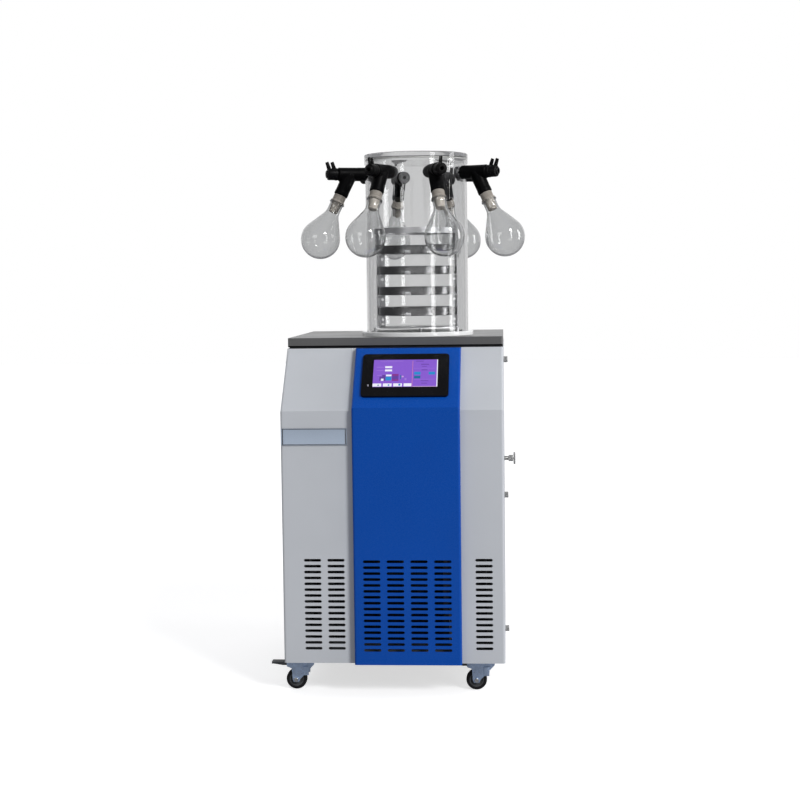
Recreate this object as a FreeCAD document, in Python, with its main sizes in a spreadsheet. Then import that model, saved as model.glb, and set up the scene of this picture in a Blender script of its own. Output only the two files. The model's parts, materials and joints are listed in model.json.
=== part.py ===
import FreeCAD, Part
import math
import os
import re
from types import SimpleNamespace

import Sketcher

# A floor-standing laboratory freeze dryer, in millimetres.
# +X is its right side seen from the front, +Y runs from the front to the back and +Z is up.
# Sizes are written about the middle of the cabinet's front edge, at floor level.  Each finished
# sub-part is then moved by origin_right and origin_back, so that the model's own origin is
# on the floor under the middle of the overall box.

SIZES = {
    # overall
    "origin_right": 8.5,
    "origin_back": 337.0,
    "cabinet_width": 530.0,
    "cabinet_depth": 676.0,
    "skirt_level": 77.0,
    "bend_drop": 146.0,
    "worktop_level": 829.0,
    "shadow_gap": 3.5,
    "sheet": 1.5,
    "cover_corner": 6.0,
    "panel_corner": 6.0,
    "panel_lap": 12.0,
    # blue front panel
    "panel_middle": 34.5,
    "panel_width": 256.0,
    "panel_raise": 20.0,
    # ventilation slots
    "slot_length": 41.0,
    "slot_height": 6.6,
    "slot_pitch": 14.2,
    "slot_column": 56.2,
    "slot_rows": 16,
    "slot_low": 112.8,
    "left_slot": 72.0,
    "right_slot": 49.0,
    # worktop
    "worktop_inset": 1.0,
    "worktop_setback": 5.5,
    "worktop_thick": 22.0,
    "worktop_corner": 5.0,
    # base pan and frame
    "pan_sheet": 2.5,
    "pan_lip": 30.0,
    "pan_front": 8.0,
    "angle_leg": 40.0,
    "angle_sheet": 2.0,
    "rail_depth": 30.0,
    "post_setback": 8.0,
    # display
    "bezel_width": 208.0,
    "bezel_height": 134.0,
    "bezel_thick": 6.0,
    "bezel_corner": 9.0,
    "bezel_along": 90.5,
    "bezel_shift": -3.0,
    "screen_width": 154.0,
    "screen_height": 86.5,
    "screen_lift": 4.7,
    "screen_thick": 2.0,
    "controller_width": 176.0,
    "controller_height": 104.0,
    "controller_deep": 34.0,
    # nameplate
    "plate_width": 156.0,
    "plate_height": 40.0,
    "plate_thick": 2.4,
    "plate_rim": 2.0,
    "plate_corner": 6.0,
    "plate_side": 80.4,
    "plate_drop": 61.0,
    # side fasteners and drain valve
    "screw_level": 123.0,
    "screw_drop": 32.5,
    "screw_inset": 24.0,
    "screw_head": 7.5,
    "screw_head_long": 10.0,
    "screw_shank": 3.0,
    "screw_long": 14.0,
    "drain_drop": 102.0,
    "drain_stem": 5.5,
    "drain_stem_out": 11.0,
    "drain_stem_in": 30.0,
    "drain_body": 8.0,
    "drain_body_long": 11.0,
    "drain_bore": 3.0,
    "drain_way": 3.0,
    "handle_tall": 30.0,
    "handle_wide": 7.5,
    "handle_thick": 6.0,
    # chamber
    "chamber_right": 47.0,
    "chamber_margin": 30.0,
    "chamber_turn": -3.75,
    "tube_radius": 129.0,
    "tube_wall": 9.0,
    "gasket_thick": 3.0,
    "base_ring_width": 13.0,
    "base_ring_thick": 10.0,
    "chamber_height": 455.0,
    "lid_rim": 2.0,
    "lid_thick": 13.0,
    "collar_thick": 9.0,
    "spigot_deep": 8.0,
    # ports and their valves
    "port_drop": 50.0,
    "port_step": 45.0,
    "port_bore": 5.0,
    "nipple_radius": 9.0,
    "nipple_long": 26.0,
    "port_nut": 15.0,
    "port_nut_long": 6.0,
    "cap_radius": 17.0,
    "cap_long": 20.0,
    "barrel_radius": 17.0,
    "barrel_reach": 75.0,
    "barrel_round": 4.0,
    "leg_out": 42.0,
    "leg_slant": 26.0,
    "leg_radius": 18.0,
    "leg_end_radius": 17.0,
    "leg_long": 59.0,
    "knob_radius": 15.5,
    "knob_long": 26.0,
    "knob_shaft_long": 12.0,
    "nozzle_radius": 9.5,
    "nozzle_long": 3.0,
    "nozzle_bore": 4.5,
    "tab_reach": 32.0,
    "tab_wide": 11.0,
    "tab_thick": 3.5,
    "tab_spread": 13.0,
    "tab_lean": 15.0,
    # flask adapters and flasks, measured along the slanted axis
    "adapter_stem": 10.0,
    "adapter_stem_long": 24.0,
    "collar_radius": 15.5,
    "collar_end": 75.0,
    "adapter_lip": 18.0,
    "adapter_lip_end": 78.5,
    "taper_radius": 13.0,
    "taper_end_radius": 11.0,
    "taper_end": 106.0,
    "flask_lip": 19.5,
    "flask_lip_thick": 3.5,
    "flask_neck": 16.5,
    "neck_end": 108.0,
    "bulb_radius": 49.0,
    "bulb_middle": 180.0,
    "glass": 1.5,
    # cold trap
    "trap_gap": 1.0,
    "trap_wall": 2.0,
    "trap_deep": 200.0,
    "trap_flange_width": 9.0,
    "trap_flange_thick": 1.5,
    "spigot_radius": 6.0,
    "spigot_long": 12.0,
    "coil_tube": 4.0,
    "coil_turns": 7,
    "coil_pitch": 22.0,
    "coil_low": 24.0,
    "foam_thick": 11.7,
    "foam_floor": 10.0,
    # tray rack
    "tray_gap": 20.0,
    "tray_tall": 20.7,
    "tray_sheet": 1.0,
    "tray_pitch": 51.7,
    "tray_low": 50.0,
    "tray_tab": 14.0,
    "tray_tab_turn": 10.0,
    "rack_floor": 19.0,
    "rack_floor_thick": 2.0,
    "rack_overhang": 6.0,
    "rack_cap_top": 270.0,
    "rack_cap_tall": 14.0,
    "rack_peg": 4.0,
    "rack_peg_inset": 4.5,
    "rack_peg_arm": 9.0,
    "rack_strip_gap": 1.228,
    "rack_strip_front": 18.0,
    "rack_strip_fold": 15.0,
    "rack_ledge": 7.0,
    "rack_hole": 3.5,
    "rack_hole_drop": 12.0,
    "rack_small_hole": 2.8,
    "rack_floor_hole": 35.3,
    "rack_peg_turn": 60.0,
    # refrigeration
    "condenser_width": 280.0,
    "condenser_deep": 50.0,
    "condenser_tall": 230.0,
    "condenser_left": 170.0,
    "condenser_front": 225.0,
    "fin_sheet": 1.0,
    "fin_count": 21,
    "condenser_tube": 5.0,
    "condenser_tube_gap": 20.0,
    "condenser_rows": 7,
    "shroud_deep": 30.0,
    "fan_opening": 100.0,
    "fan_radius": 95.0,
    "fan_hub": 34.0,
    "fan_hub_long": 16.0,
    "fan_blade_root": 27.2,
    "fan_blade_turn": 20.0,
    "fan_blade_thick": 2.0,
    "fan_blade_deep": 20.0,
    "fan_blade_pitch": 28.0,
    "fan_blades": 5,
    "fan_shaft": 4.0,
    "motor_radius": 32.0,
    "motor_long": 46.0,
    "motor_arm": 12.0,
    "compressor_side": 39.0,
    "compressor_rear": 171.0,
    "compressor_radius": 78.0,
    "compressor_tall": 178.0,
    "compressor_round": 30.0,
    "foot_plate": 3.0,
    "foot_reach": 66.0,
    "foot_radius": 11.0,
    "foot_tall": 16.0,
    # pipes and rear connections
    "vacuum_drop": 70.0,
    "vacuum_radius": 14.0,
    "vacuum_bore": 12.0,
    "vacuum_out": 18.0,
    "vacuum_flange": 20.0,
    "vacuum_flange_thick": 4.0,
    "drain_pipe_bore": 4.0,
    "drain_bend": 28.0,
    "suction_radius": 5.0,
    "suction_bend": 22.0,
    "inlet_left": 170.0,
    "inlet_level": 300.0,
    "inlet_width": 34.0,
    "inlet_height": 66.0,
    "inlet_flange": 5.0,
    "inlet_flange_thick": 3.0,
    "inlet_deep": 28.0,
    "socket_width": 25.0,
    "socket_height": 17.0,
    "socket_deep": 20.0,
    "contact_width": 2.0,
    "contact_height": 6.0,
    "contact_long": 14.0,
    "contact_spread": 7.0,
    "contact_step": 2.0,
    "rocker_width": 22.0,
    "rocker_height": 20.0,
    "rocker_deep": 12.0,
    "rocker_pin": 1.5,
    "rocker_pin_long": 2.5,
    "rocker_swing": 0.9,
    # casters
    "caster_side": 46.0,
    "caster_inset": 60.0,
    "caster_plate": 64.0,
    "caster_plate_thick": 2.5,
    "race_radius": 15.0,
    "race_tall": 4.2,
    "king_pin": 4.0,
    "king_head": 7.0,
    "king_head_tall": 3.5,
    "fork_sheet": 2.0,
    "fork_top": 3.0,
    "fork_half": 14.0,
    "fork_nose": 20.0,
    "fork_heel": 40.0,
    "fork_lobe": 5.0,
    "fork_eye": 9.0,
    "caster_trail": 24.0,
    "wheel_radius": 25.0,
    "wheel_width": 20.0,
    "tyre_deep": 6.0,
    "hub_width": 24.0,
    "hub_radius": 8.0,
    "axle_radius": 4.0,
    "axle_head": 6.5,
    "axle_head_thick": 2.0,
    "pedal_pivot": 42.0,
    "pedal_drop": 5.0,
    "pedal_pin": 2.0,
    "pedal_boss": 4.5,
    "pedal_long": 42.0,
    "pedal_thick": 5.0,
    "pedal_rise": 6.0,
    # clearances
    "running_gap": 0.05,
    "moving_gap": 0.3,
    "hole_gap": 0.3,
    "cut_past": 1.0,
}

TRAYS = 4
VALVE_STEPS = (-3.5, -1.5, -0.5, 0.5, 1.5, 3.5)
PLUG_STEPS = (-2.5, 2.5)
PORT_STEPS = VALVE_STEPS + PLUG_STEPS

doc = FreeCAD.newDocument("freeze_dryer")
sheet = doc.addObject("Spreadsheet::Sheet", "Sizes")
for row, (alias, number) in enumerate(SIZES.items(), start=1):
    sheet.set(f"A{row}", str(number))
    sheet.setAlias(f"A{row}", alias)
doc.recompute()


class Term:
    """A length or angle: the sheet formula that it comes from and its value now."""

    def __init__(self, formula, value):
        self.formula = formula
        self.value = value

    def __add__(self, other):
        other = term(other)
        return Term(f"({self.formula} + {other.formula})", self.value + other.value)

    def __sub__(self, other):
        other = term(other)
        return Term(f"({self.formula} - {other.formula})", self.value - other.value)

    def __mul__(self, other):
        other = term(other)
        return Term(f"({self.formula} * {other.formula})", self.value * other.value)

    def __truediv__(self, other):
        other = term(other)
        return Term(f"({self.formula} / {other.formula})", self.value / other.value)

    def __neg__(self):
        return Term(f"(0 - {self.formula})", -self.value)

    def __radd__(self, other):
        return term(other) + self

    def __rsub__(self, other):
        return term(other) - self

    def __rmul__(self, other):
        return term(other) * self

    def __rtruediv__(self, other):
        return term(other) / self


def term(amount):
    """A plain number as a Term, and a Term as it is."""
    if isinstance(amount, Term):
        return amount
    return Term(f"({amount})", float(amount))


def sine(angle):
    angle = term(angle)
    return Term(f"sin({angle.formula})", math.sin(math.radians(angle.value)))


def cosine(angle):
    angle = term(angle)
    return Term(f"cos({angle.formula})", math.cos(math.radians(angle.value)))


def tangent(angle):
    angle = term(angle)
    return Term(f"tan({angle.formula})", math.tan(math.radians(angle.value)))


def arc_tangent(ratio):
    return Term(f"(atan({ratio.formula}) / 1 deg)", math.degrees(math.atan(ratio.value)))


def arc_cosine(ratio):
    return Term(f"(acos({ratio.formula}) / 1 deg)", math.degrees(math.acos(ratio.value)))


def root(square):
    return Term(f"sqrt({square.formula})", math.sqrt(square.value))


size = SimpleNamespace(**{alias: Term(f"Sizes.{alias}", float(sheet.get(alias))) for alias in SIZES})

ZERO = term(0)
PAST = size.cut_past
CENTRE = (ZERO, ZERO, ZERO)
X_AXIS = FreeCAD.Vector(1, 0, 0)
Y_AXIS = FreeCAD.Vector(0, 1, 0)
Z_AXIS = FreeCAD.Vector(0, 0, 1)
TO_FRONT = (X_AXIS, term(90))
TO_BACK = (X_AXIS, term(-90))
TO_RIGHT = (Y_AXIS, term(90))
sub_parts = []


def whole(alias):
    """A count from the sheet."""
    return int(sheet.get(alias))


# ---------------------------------------------------------------- building blocks

def place(thing, spot=CENTRE, turn=None):
    """Bind a placement to the sheet: a spot, and a turn about one axis."""
    if turn:
        axis, angle = turn
        thing.Placement = FreeCAD.Placement(FreeCAD.Vector(), FreeCAD.Rotation(axis, 1))
        thing.setExpression("Placement.Rotation.Angle", angle.formula)
    for letter, distance in zip("xyz", spot):
        thing.setExpression(f"Placement.Base.{letter}", term(distance).formula)
    return thing


def primitive(kind, spot, turn, **dimensions):
    thing = doc.addObject(f"Part::{kind}", kind.lower())
    for dimension, amount in dimensions.items():
        thing.setExpression(dimension, term(amount).formula)
    return place(thing, spot, turn)


def box(spot, length, width, height, turn=None):
    return primitive("Box", spot, turn, Length=length, Width=width, Height=height)


def cylinder(spot, radius, height, turn=None):
    return primitive("Cylinder", spot, turn, Radius=radius, Height=height)


def cone(spot, radius, end_radius, height, turn=None):
    return primitive("Cone", spot, turn, Radius1=radius, Radius2=end_radius, Height=height)


def fuse(*pieces):
    joined = doc.addObject("Part::MultiFuse", "fuse")
    joined.Shapes = list(pieces)
    joined.Refine = True
    return joined


def cut(base, *tools):
    """Cut the tools out of the base, one after the other."""
    result = base
    for tool in tools:
        step = doc.addObject("Part::Cut", "cut")
        step.Base = result
        step.Tool = tool
        result = step
    return result


def group(*pieces):
    """Separate solids that share one node."""
    together = doc.addObject("Part::Compound", "group")
    together.Links = list(pieces)
    return together


def copy_of(form, spot, turn):
    """A linked copy of a form, turned and moved as a whole."""
    copy = doc.addObject("App::Link", "copy")
    copy.LinkedObject = form
    copy.LinkTransform = True
    return place(copy, spot, turn)


def sub_part(node, thing, spot=CENTRE, turn=None):
    """Name a finished sub-part and move it into the model's frame."""
    across, back, up = spot
    place(thing, (across - size.origin_right, back - size.origin_back, up), turn)
    thing.Label = node
    sub_parts.append(thing)
    return thing


def new_body(name):
    return doc.addObject("PartDesign::Body", name)


def new_sketch(body, role, offset=None, tilt=None):
    """An empty sketch on one of the body's own origin planes, moved or tilted off it."""
    plane = [feature for feature in body.Origin.OriginFeatures if feature.Role == role][0]
    sketch = body.newObject("Sketcher::SketchObject", "sketch")
    sketch.AttachmentSupport = [(plane, "")]
    sketch.MapMode = "FlatFace"
    if tilt:
        turned = FreeCAD.Rotation(X_AXIS, tilt)
        sketch.AttachmentOffset = FreeCAD.Placement(FreeCAD.Vector(), turned)
    for letter, distance in zip("xyz", offset or ()):
        sketch.setExpression(f"AttachmentOffset.Base.{letter}", term(distance).formula)
    return sketch


def hold(sketch, kind, *places_and_amount):
    """Add a driving constraint whose last argument is a Term."""
    *places, amount = places_and_amount
    index = sketch.addConstraint(Sketcher.Constraint(kind, *places, amount.value))
    sketch.setExpression(f"Constraints[{index}]", amount.formula)


def bulge_point(first, last, radius):
    """The middle of an arc from first to last that turns left, or right if radius is negative."""
    chord = last - first
    half = chord.Length / 2
    sagitta = abs(radius) - math.sqrt(max(radius * radius - half * half, 0))
    side = FreeCAD.Vector(chord.y, -chord.x, 0).normalize()
    return (first + last) * 0.5 + side * math.copysign(sagitta, radius)


def draw_outline(sketch, corners):
    """A closed outline.  A corner is (x, y), or (x, y, radius) where an arc leaves it."""
    points = [FreeCAD.Vector(term(corner[0]).value, term(corner[1]).value, 0) for corner in corners]
    count = len(corners)
    ends = []
    for number, corner in enumerate(corners):
        first = points[number]
        last = points[(number + 1) % count]
        if len(corner) == 2:
            edge = sketch.addGeometry(Part.LineSegment(first, last), False)
            ends.append((edge, 1, 2))
            continue
        arc = Part.Arc(first, bulge_point(first, last, term(corner[2]).value), last)
        edge = sketch.addGeometry(arc, False)
        starts_first = sketch.getPoint(edge, 1).distanceToPoint(first) < 0.001
        ends.append((edge, 1, 2) if starts_first else (edge, 2, 1))
    for number, corner in enumerate(corners):
        edge, start, end = ends[number]
        next_edge, next_start, _ = ends[(number + 1) % count]
        sketch.addConstraint(Sketcher.Constraint("Coincident", edge, end, next_edge, next_start))
        hold(sketch, "DistanceX", -1, 1, edge, start, term(corner[0]))
        hold(sketch, "DistanceY", -1, 1, edge, start, term(corner[1]))
        if len(corner) == 3:
            radius = term(corner[2])
            hold(sketch, "Radius", edge, radius if radius.value > 0 else -radius)


def draw_circle(sketch, across, up, radius):
    middle = FreeCAD.Vector(term(across).value, term(up).value, 0)
    edge = sketch.addGeometry(Part.Circle(middle, Z_AXIS, term(radius).value), False)
    hold(sketch, "DistanceX", -1, 1, edge, 3, term(across))
    hold(sketch, "DistanceY", -1, 1, edge, 3, term(up))
    hold(sketch, "Radius", edge, term(radius))


def draw_slot(sketch, across, up, length, height):
    """A level slot with round ends, about its middle."""
    radius = height / 2
    reach = (length - height) / 2
    corners = (
        (across - reach, up - radius),
        (across + reach, up - radius, radius),
        (across + reach + radius, up, radius),
        (across + reach, up + radius),
        (across - reach, up + radius, radius),
        (across - reach - radius, up, radius),
    )
    draw_outline(sketch, corners)


def rectangle(left, low, right, high):
    return ((left, low), (right, low), (right, high), (left, high))


def pad(body, sketch, length, reverse=False):
    feature = body.newObject("PartDesign::Pad", "pad")
    feature.Profile = sketch
    feature.Reversed = reverse
    feature.setExpression("Length", term(length).formula)
    doc.recompute()
    return feature


def pocket(body, sketch, length):
    """Cut both ways from the sketch, half the length to each side."""
    before = body.Tip.Shape.Volume
    feature = body.newObject("PartDesign::Pocket", "pocket")
    feature.Profile = sketch
    feature.SideType = "Symmetric"
    feature.setExpression("Length", term(length).formula)
    doc.recompute()
    if not feature.Shape.Volume < before:
        raise RuntimeError(f"{body.Label}: a pocket cuts nothing")
    return feature


def revolve(body, sketch):
    """Turn an outline, drawn as radius and height, about the body's Z axis."""
    feature = body.newObject("PartDesign::Revolution", "revolution")
    feature.Profile = sketch
    feature.ReferenceAxis = (sketch, ["V_Axis"])
    feature.Angle = 360
    doc.recompute()
    return feature


def turned(name, *outlines):
    """A body turned about Z from one outline."""
    body = new_body(name)
    sketch = new_sketch(body, "XZ_Plane")
    for outline in outlines:
        draw_outline(sketch, outline)
    revolve(body, sketch)
    return body


def extruded(name, role, outline, length, offset=None, reverse=False):
    """A body padded from one outline on one of its origin planes."""
    body = new_body(name)
    sketch = new_sketch(body, role, offset)
    draw_outline(sketch, outline)
    pad(body, sketch, length, reverse)
    return body


def lies_at(edge, letter, level):
    return all(abs(getattr(vertex.Point, letter) - level) < 0.001 for vertex in edge.Vertexes)


def round_edges(body, radius, wanted):
    """Fillet the edges of the body's tip that wanted(edge, box of the shape) picks."""
    base = body.Tip
    limits = base.Shape.optimalBoundingBox()
    names = [f"Edge{i}" for i, edge in enumerate(base.Shape.Edges, 1) if wanted(edge, limits)]
    feature = body.newObject("PartDesign::Fillet", "fillet")
    feature.Base = (base, names)
    feature.setExpression("Radius", term(radius).formula)
    doc.recompute()
    return feature


def upright_edges(edge, limits):
    return edge.Length > 0.001 and lies_at(edge, "x", edge.Vertexes[0].X) and lies_at(
        edge, "y", edge.Vertexes[0].Y)


def hollow_out(body, wall, open_faces):
    """Leave a wall of sheet on every face of the tip except the open ones."""
    base = body.Tip
    limits = base.Shape.optimalBoundingBox()
    names = [f"Face{i}" for i, face in enumerate(base.Shape.Faces, 1) if open_faces(face, limits)]
    feature = body.newObject("PartDesign::Thickness", "thickness")
    feature.Base = (base, names)
    feature.Reversed = True
    feature.setExpression("Value", term(wall).formula)
    doc.recompute()
    return feature


def slot_grid(body, across, columns, depth):
    """Rows and columns of ventilation slots through the sheet at the body's front plane."""
    sketch = new_sketch(body, "XZ_Plane")
    draw_slot(sketch, across, size.slot_low, size.slot_length, size.slot_height)
    first = pocket(body, sketch, depth)
    grid = body.newObject("PartDesign::LinearPattern", "slots")
    grid.Originals = [first]
    grid.Direction = (sketch, ["V_Axis"])
    grid.setExpression("Length", (size.slot_pitch * (size.slot_rows - 1)).formula)
    grid.setExpression("Occurrences", size.slot_rows.formula)
    if columns > 1:
        grid.Direction2 = (sketch, ["H_Axis"])
        grid.setExpression("Length2", (size.slot_column * (columns - 1)).formula)
        grid.Occurrences2 = columns
    body.Tip = grid
    doc.recompute()


def pipe(corners, radius, bend, bore=None):
    """A round pipe along straight runs joined by tangent bends of one radius."""
    points = [FreeCAD.Vector(*(term(distance).value for distance in corner)) for corner in corners]
    edges = []
    start = points[0]
    for before, corner, after in zip(points, points[1:], points[2:]):
        incoming = (corner - before).normalize()
        outgoing = (after - corner).normalize()
        turn = incoming.getAngle(outgoing)
        setback = bend.value * math.tan(turn / 2)
        entry = corner - incoming * setback
        leave = corner + outgoing * setback
        inward = (outgoing - incoming).normalize()
        middle = corner + inward * (bend.value / math.cos(turn / 2) - bend.value)
        edges.append(Part.LineSegment(start, entry).toShape())
        edges.append(Part.Arc(entry, middle, leave).toShape())
        start = leave
    edges.append(Part.LineSegment(start, points[-1]).toShape())
    path = Part.Wire(edges)
    heading = points[1] - points[0]
    shape = swept(path, points[0], heading, radius.value)
    if bore is not None:
        shape = shape.cut(swept(path, points[0], heading, bore.value))
    feature = doc.addObject("Part::Feature", "pipe")
    feature.Shape = shape
    return feature


def swept(path, start, heading, radius):
    ring = Part.Wire([Part.Circle(start, heading, radius).toShape()])
    return path.makePipeShell([ring], True, True)


# ---------------------------------------------------------------- levels shared by sub-parts

HALF_WIDTH = size.cabinet_width / 2
COVER_TOP = size.worktop_level - size.shadow_gap
BEND_LEVEL = size.worktop_level - size.bend_drop
BACK_FACE = size.cabinet_depth
INNER_BACK = size.cabinet_depth - size.sheet
PANEL_LEFT = size.panel_middle - size.panel_width / 2
PANEL_RIGHT = PANEL_LEFT + size.panel_width
WORKTOP_TOP = size.worktop_level + size.worktop_thick
WORKTOP_FRONT = COVER_TOP - BEND_LEVEL + size.worktop_setback
PAN_FLOOR = size.skirt_level + size.pan_sheet
INNER_HALF = HALF_WIDTH - size.sheet
POST_FACE = INNER_HALF - size.pan_sheet
POST_FRONT = WORKTOP_FRONT + size.post_setback
SCREW_BACK = POST_FRONT + size.screw_inset
SCREW_PITCH = (COVER_TOP - size.screw_drop - size.screw_level) / 2
BASE_RING_RADIUS = size.tube_radius + size.base_ring_width
CHAMBER_BACK = WORKTOP_FRONT + BASE_RING_RADIUS + size.chamber_margin
CHAMBER_AXIS = (size.chamber_right, CHAMBER_BACK)
PORT_LEVEL = WORKTOP_TOP + size.chamber_height - size.port_drop
TUBE_INNER = size.tube_radius - size.tube_wall
LID_RADIUS = size.tube_radius + size.lid_rim
TRAP_FLANGE = TUBE_INNER - size.trap_gap
TRAP_RADIUS = TRAP_FLANGE - size.trap_flange_width
TRAP_FLOOR = WORKTOP_TOP - size.trap_deep
VACUUM_LEVEL = WORKTOP_TOP - size.vacuum_drop
DRAIN_LEVEL = TRAP_FLOOR - size.drain_drop
TRAY_RADIUS = TUBE_INNER - size.tray_gap
SHAFT_RADIUS = size.nipple_radius - size.running_gap
SLOPE = math.sqrt(0.5)
FOLD = tangent(22.5)


# ---------------------------------------------------------------- cabinet shell

def side_profile(front, bend, back, low, high):
    """The cabinet's side outline in (back, up): upright front, 45 degree slope, level top."""
    return ((front, low), (back, low), (back, high), (front + high - bend, high), (front, bend))


def cover_corner_edges(side):
    """Pick the front corner and its slope on the outer side of a cover."""
    def wanted(edge, limits):
        outer = limits.XMin if side < 0 else limits.XMax
        on_rim = (lies_at(edge, "z", limits.ZMin) or lies_at(edge, "z", limits.ZMax)
                  or lies_at(edge, "y", limits.YMax))
        return lies_at(edge, "x", outer) and not on_rim
    return wanted


def cover_open_faces(side):
    """The bottom, the top, the back and the inner side of a cover are open."""
    def wanted(face, limits):
        inner = limits.XMax if side < 0 else limits.XMin
        level = (lies_at(face, "z", limits.ZMin) or lies_at(face, "z", limits.ZMax)
                 or lies_at(face, "y", limits.YMax) or lies_at(face, "x", inner))
        return level
    return wanted


def side_cover(name, side, span):
    """A folded cover: front, slope and side in one sheet.  Its X = 0 is the outer side."""
    outline = side_profile(ZERO, BEND_LEVEL, INNER_BACK, size.skirt_level, COVER_TOP)
    body = extruded(name, "YZ_Plane", outline, span, reverse=side > 0)
    round_edges(body, size.cover_corner, cover_corner_edges(side))
    hollow_out(body, size.sheet, cover_open_faces(side))
    return body


left_cover = side_cover("LeftCover", -1, HALF_WIDTH + PANEL_LEFT + size.panel_lap)
slot_grid(left_cover, size.left_slot, 2, size.sheet * 4)
sub_part("left_cover", left_cover, (-HALF_WIDTH, ZERO, ZERO))

right_cover = side_cover("RightCover", 1, HALF_WIDTH - PANEL_RIGHT + size.panel_lap)
slot_grid(right_cover, -size.right_slot, 1, size.sheet * 4)
side_holes = new_sketch(right_cover, "YZ_Plane")
for number in range(3):
    level = size.screw_level + SCREW_PITCH * number
    draw_circle(side_holes, SCREW_BACK, level, size.screw_shank + size.hole_gap)
draw_circle(side_holes, SCREW_BACK, DRAIN_LEVEL, size.drain_stem + size.hole_gap)
pocket(right_cover, side_holes, size.sheet * 4)
sub_part("right_cover", right_cover, (HALF_WIDTH, ZERO, ZERO))


def front_panel():
    """The blue tray-shaped panel that stands out in front of both covers."""
    raised = size.panel_raise
    bend = BEND_LEVEL + raised * FOLD
    outline = (
        (-raised, size.skirt_level),
        (ZERO, size.skirt_level),
        (ZERO, BEND_LEVEL),
        (COVER_TOP - BEND_LEVEL, COVER_TOP),
        (COVER_TOP - bend - raised, COVER_TOP),
        (-raised, bend),
    )
    body = extruded("FrontPanel", "YZ_Plane", outline, size.panel_width)

    def rim_edges(edge, limits):
        at_side = lies_at(edge, "x", limits.XMin) or lies_at(edge, "x", limits.XMax)
        front_upright = lies_at(edge, "y", limits.YMin) and at_side
        middle = edge.CenterOfMass
        slope = at_side and not lies_at(edge, "z", limits.ZMax) and abs(
            middle.y - (middle.z - bend.value - raised.value)) < 0.01
        return front_upright or slope

    def back_faces(face, limits):
        middle = face.CenterOfMass
        return abs(middle.y) < 0.01 or abs(middle.y - (middle.z - BEND_LEVEL.value)) < 0.01

    round_edges(body, size.panel_corner, rim_edges)
    hollow_out(body, size.sheet, back_faces)
    slot_grid(body, size.panel_width / 2 - size.slot_column * 1.5, 4, (raised + size.sheet) * 2)
    return body


def on_slope(along, out):
    """A spot in (back, up): along the slope from the bend and out from the covers' face."""
    return (along - out) * SLOPE, BEND_LEVEL + (along + out) * SLOPE


panel = front_panel()
window_back, window_up = on_slope(size.bezel_along, size.panel_raise)
window = new_sketch(panel, "XY_Plane", (size.panel_width / 2 + size.bezel_shift, window_back, window_up), 45)
half_window = (size.controller_width / 2 + size.hole_gap, size.controller_height / 2 + size.hole_gap)
draw_outline(window, rectangle(-half_window[0], -half_window[1], *half_window))
pocket(panel, window, size.sheet * 4)
sub_part("front_panel", panel, (PANEL_LEFT, ZERO, ZERO))

back_outline = rectangle(-HALF_WIDTH, size.skirt_level, HALF_WIDTH, COVER_TOP)
back_panel = extruded("BackPanel", "XZ_Plane", back_outline, size.sheet, reverse=True)
slot_grid(back_panel, -size.slot_column * 1.5, 4, size.sheet * 4)
rear_openings = new_sketch(back_panel, "XZ_Plane")
draw_circle(rear_openings, size.chamber_right, VACUUM_LEVEL, size.vacuum_radius + size.hole_gap)
inlet_half = (size.inlet_width / 2 + size.hole_gap, size.inlet_height / 2 + size.hole_gap)
draw_outline(rear_openings, rectangle(
    -size.inlet_left - inlet_half[0], size.inlet_level - inlet_half[1],
    -size.inlet_left + inlet_half[0], size.inlet_level + inlet_half[1]))
pocket(back_panel, rear_openings, size.sheet * 4)
sub_part("back_panel", back_panel, (ZERO, INNER_BACK, ZERO))

half_top = HALF_WIDTH - size.worktop_inset
worktop_outline = rectangle(-half_top, WORKTOP_FRONT, half_top, BACK_FACE)
worktop = extruded("Worktop", "XY_Plane", worktop_outline, size.worktop_thick)
round_edges(worktop, size.worktop_corner, upright_edges)
mouth = new_sketch(worktop, "XY_Plane")
draw_circle(mouth, *CHAMBER_AXIS, TRAP_RADIUS + size.trap_wall + size.hole_gap)
pocket(worktop, mouth, size.worktop_thick * 3)
sub_part("worktop", worktop, (ZERO, ZERO, size.worktop_level))


# ---------------------------------------------------------------- base pan and frame

def base_pan():
    """A pressed floor with an upstanding lip."""
    back = INNER_BACK
    outer = box((-INNER_HALF, size.pan_front, size.skirt_level),
                INNER_HALF * 2, back - size.pan_front, size.pan_lip)
    wall = size.pan_sheet
    inner = box((-INNER_HALF + wall, size.pan_front + wall, PAN_FLOOR),
                (INNER_HALF - wall) * 2, back - size.pan_front - wall * 2, size.pan_lip)
    return cut(outer, inner)


sub_part("base_pan", base_pan())

FRAME_BACK = INNER_BACK - size.pan_sheet


def angle_post(side, corner_back, inward):
    """An upright angle with its outer corner at a side and at the front or the back."""
    leg = size.angle_leg
    wall = size.angle_sheet
    tall = size.worktop_level - PAN_FLOOR
    left = -POST_FACE if side < 0 else POST_FACE - leg
    front = corner_back if inward > 0 else corner_back - leg
    inner_left = left + wall if side < 0 else left
    inner_front = front + wall if inward > 0 else front
    outer = box((left, front, PAN_FLOOR), leg, leg, tall)
    inner = box((inner_left, inner_front, PAN_FLOOR), leg - wall, leg - wall, tall)
    return cut(outer, inner)


def frame_ring():
    """A level ring of angle under the worktop, its flange on top."""
    wall = size.angle_sheet
    rail = size.rail_depth
    deep = FRAME_BACK - POST_FRONT
    low = size.worktop_level - rail
    outer = box((-POST_FACE, POST_FRONT, low), POST_FACE * 2, deep, rail)
    under = box((-POST_FACE + wall, POST_FRONT + wall, low),
                (POST_FACE - wall) * 2, deep - wall * 2, rail - wall)
    through = box((-POST_FACE + rail, POST_FRONT + rail, low),
                  (POST_FACE - rail) * 2, deep - rail * 2, rail)
    return cut(outer, under, through)


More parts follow.
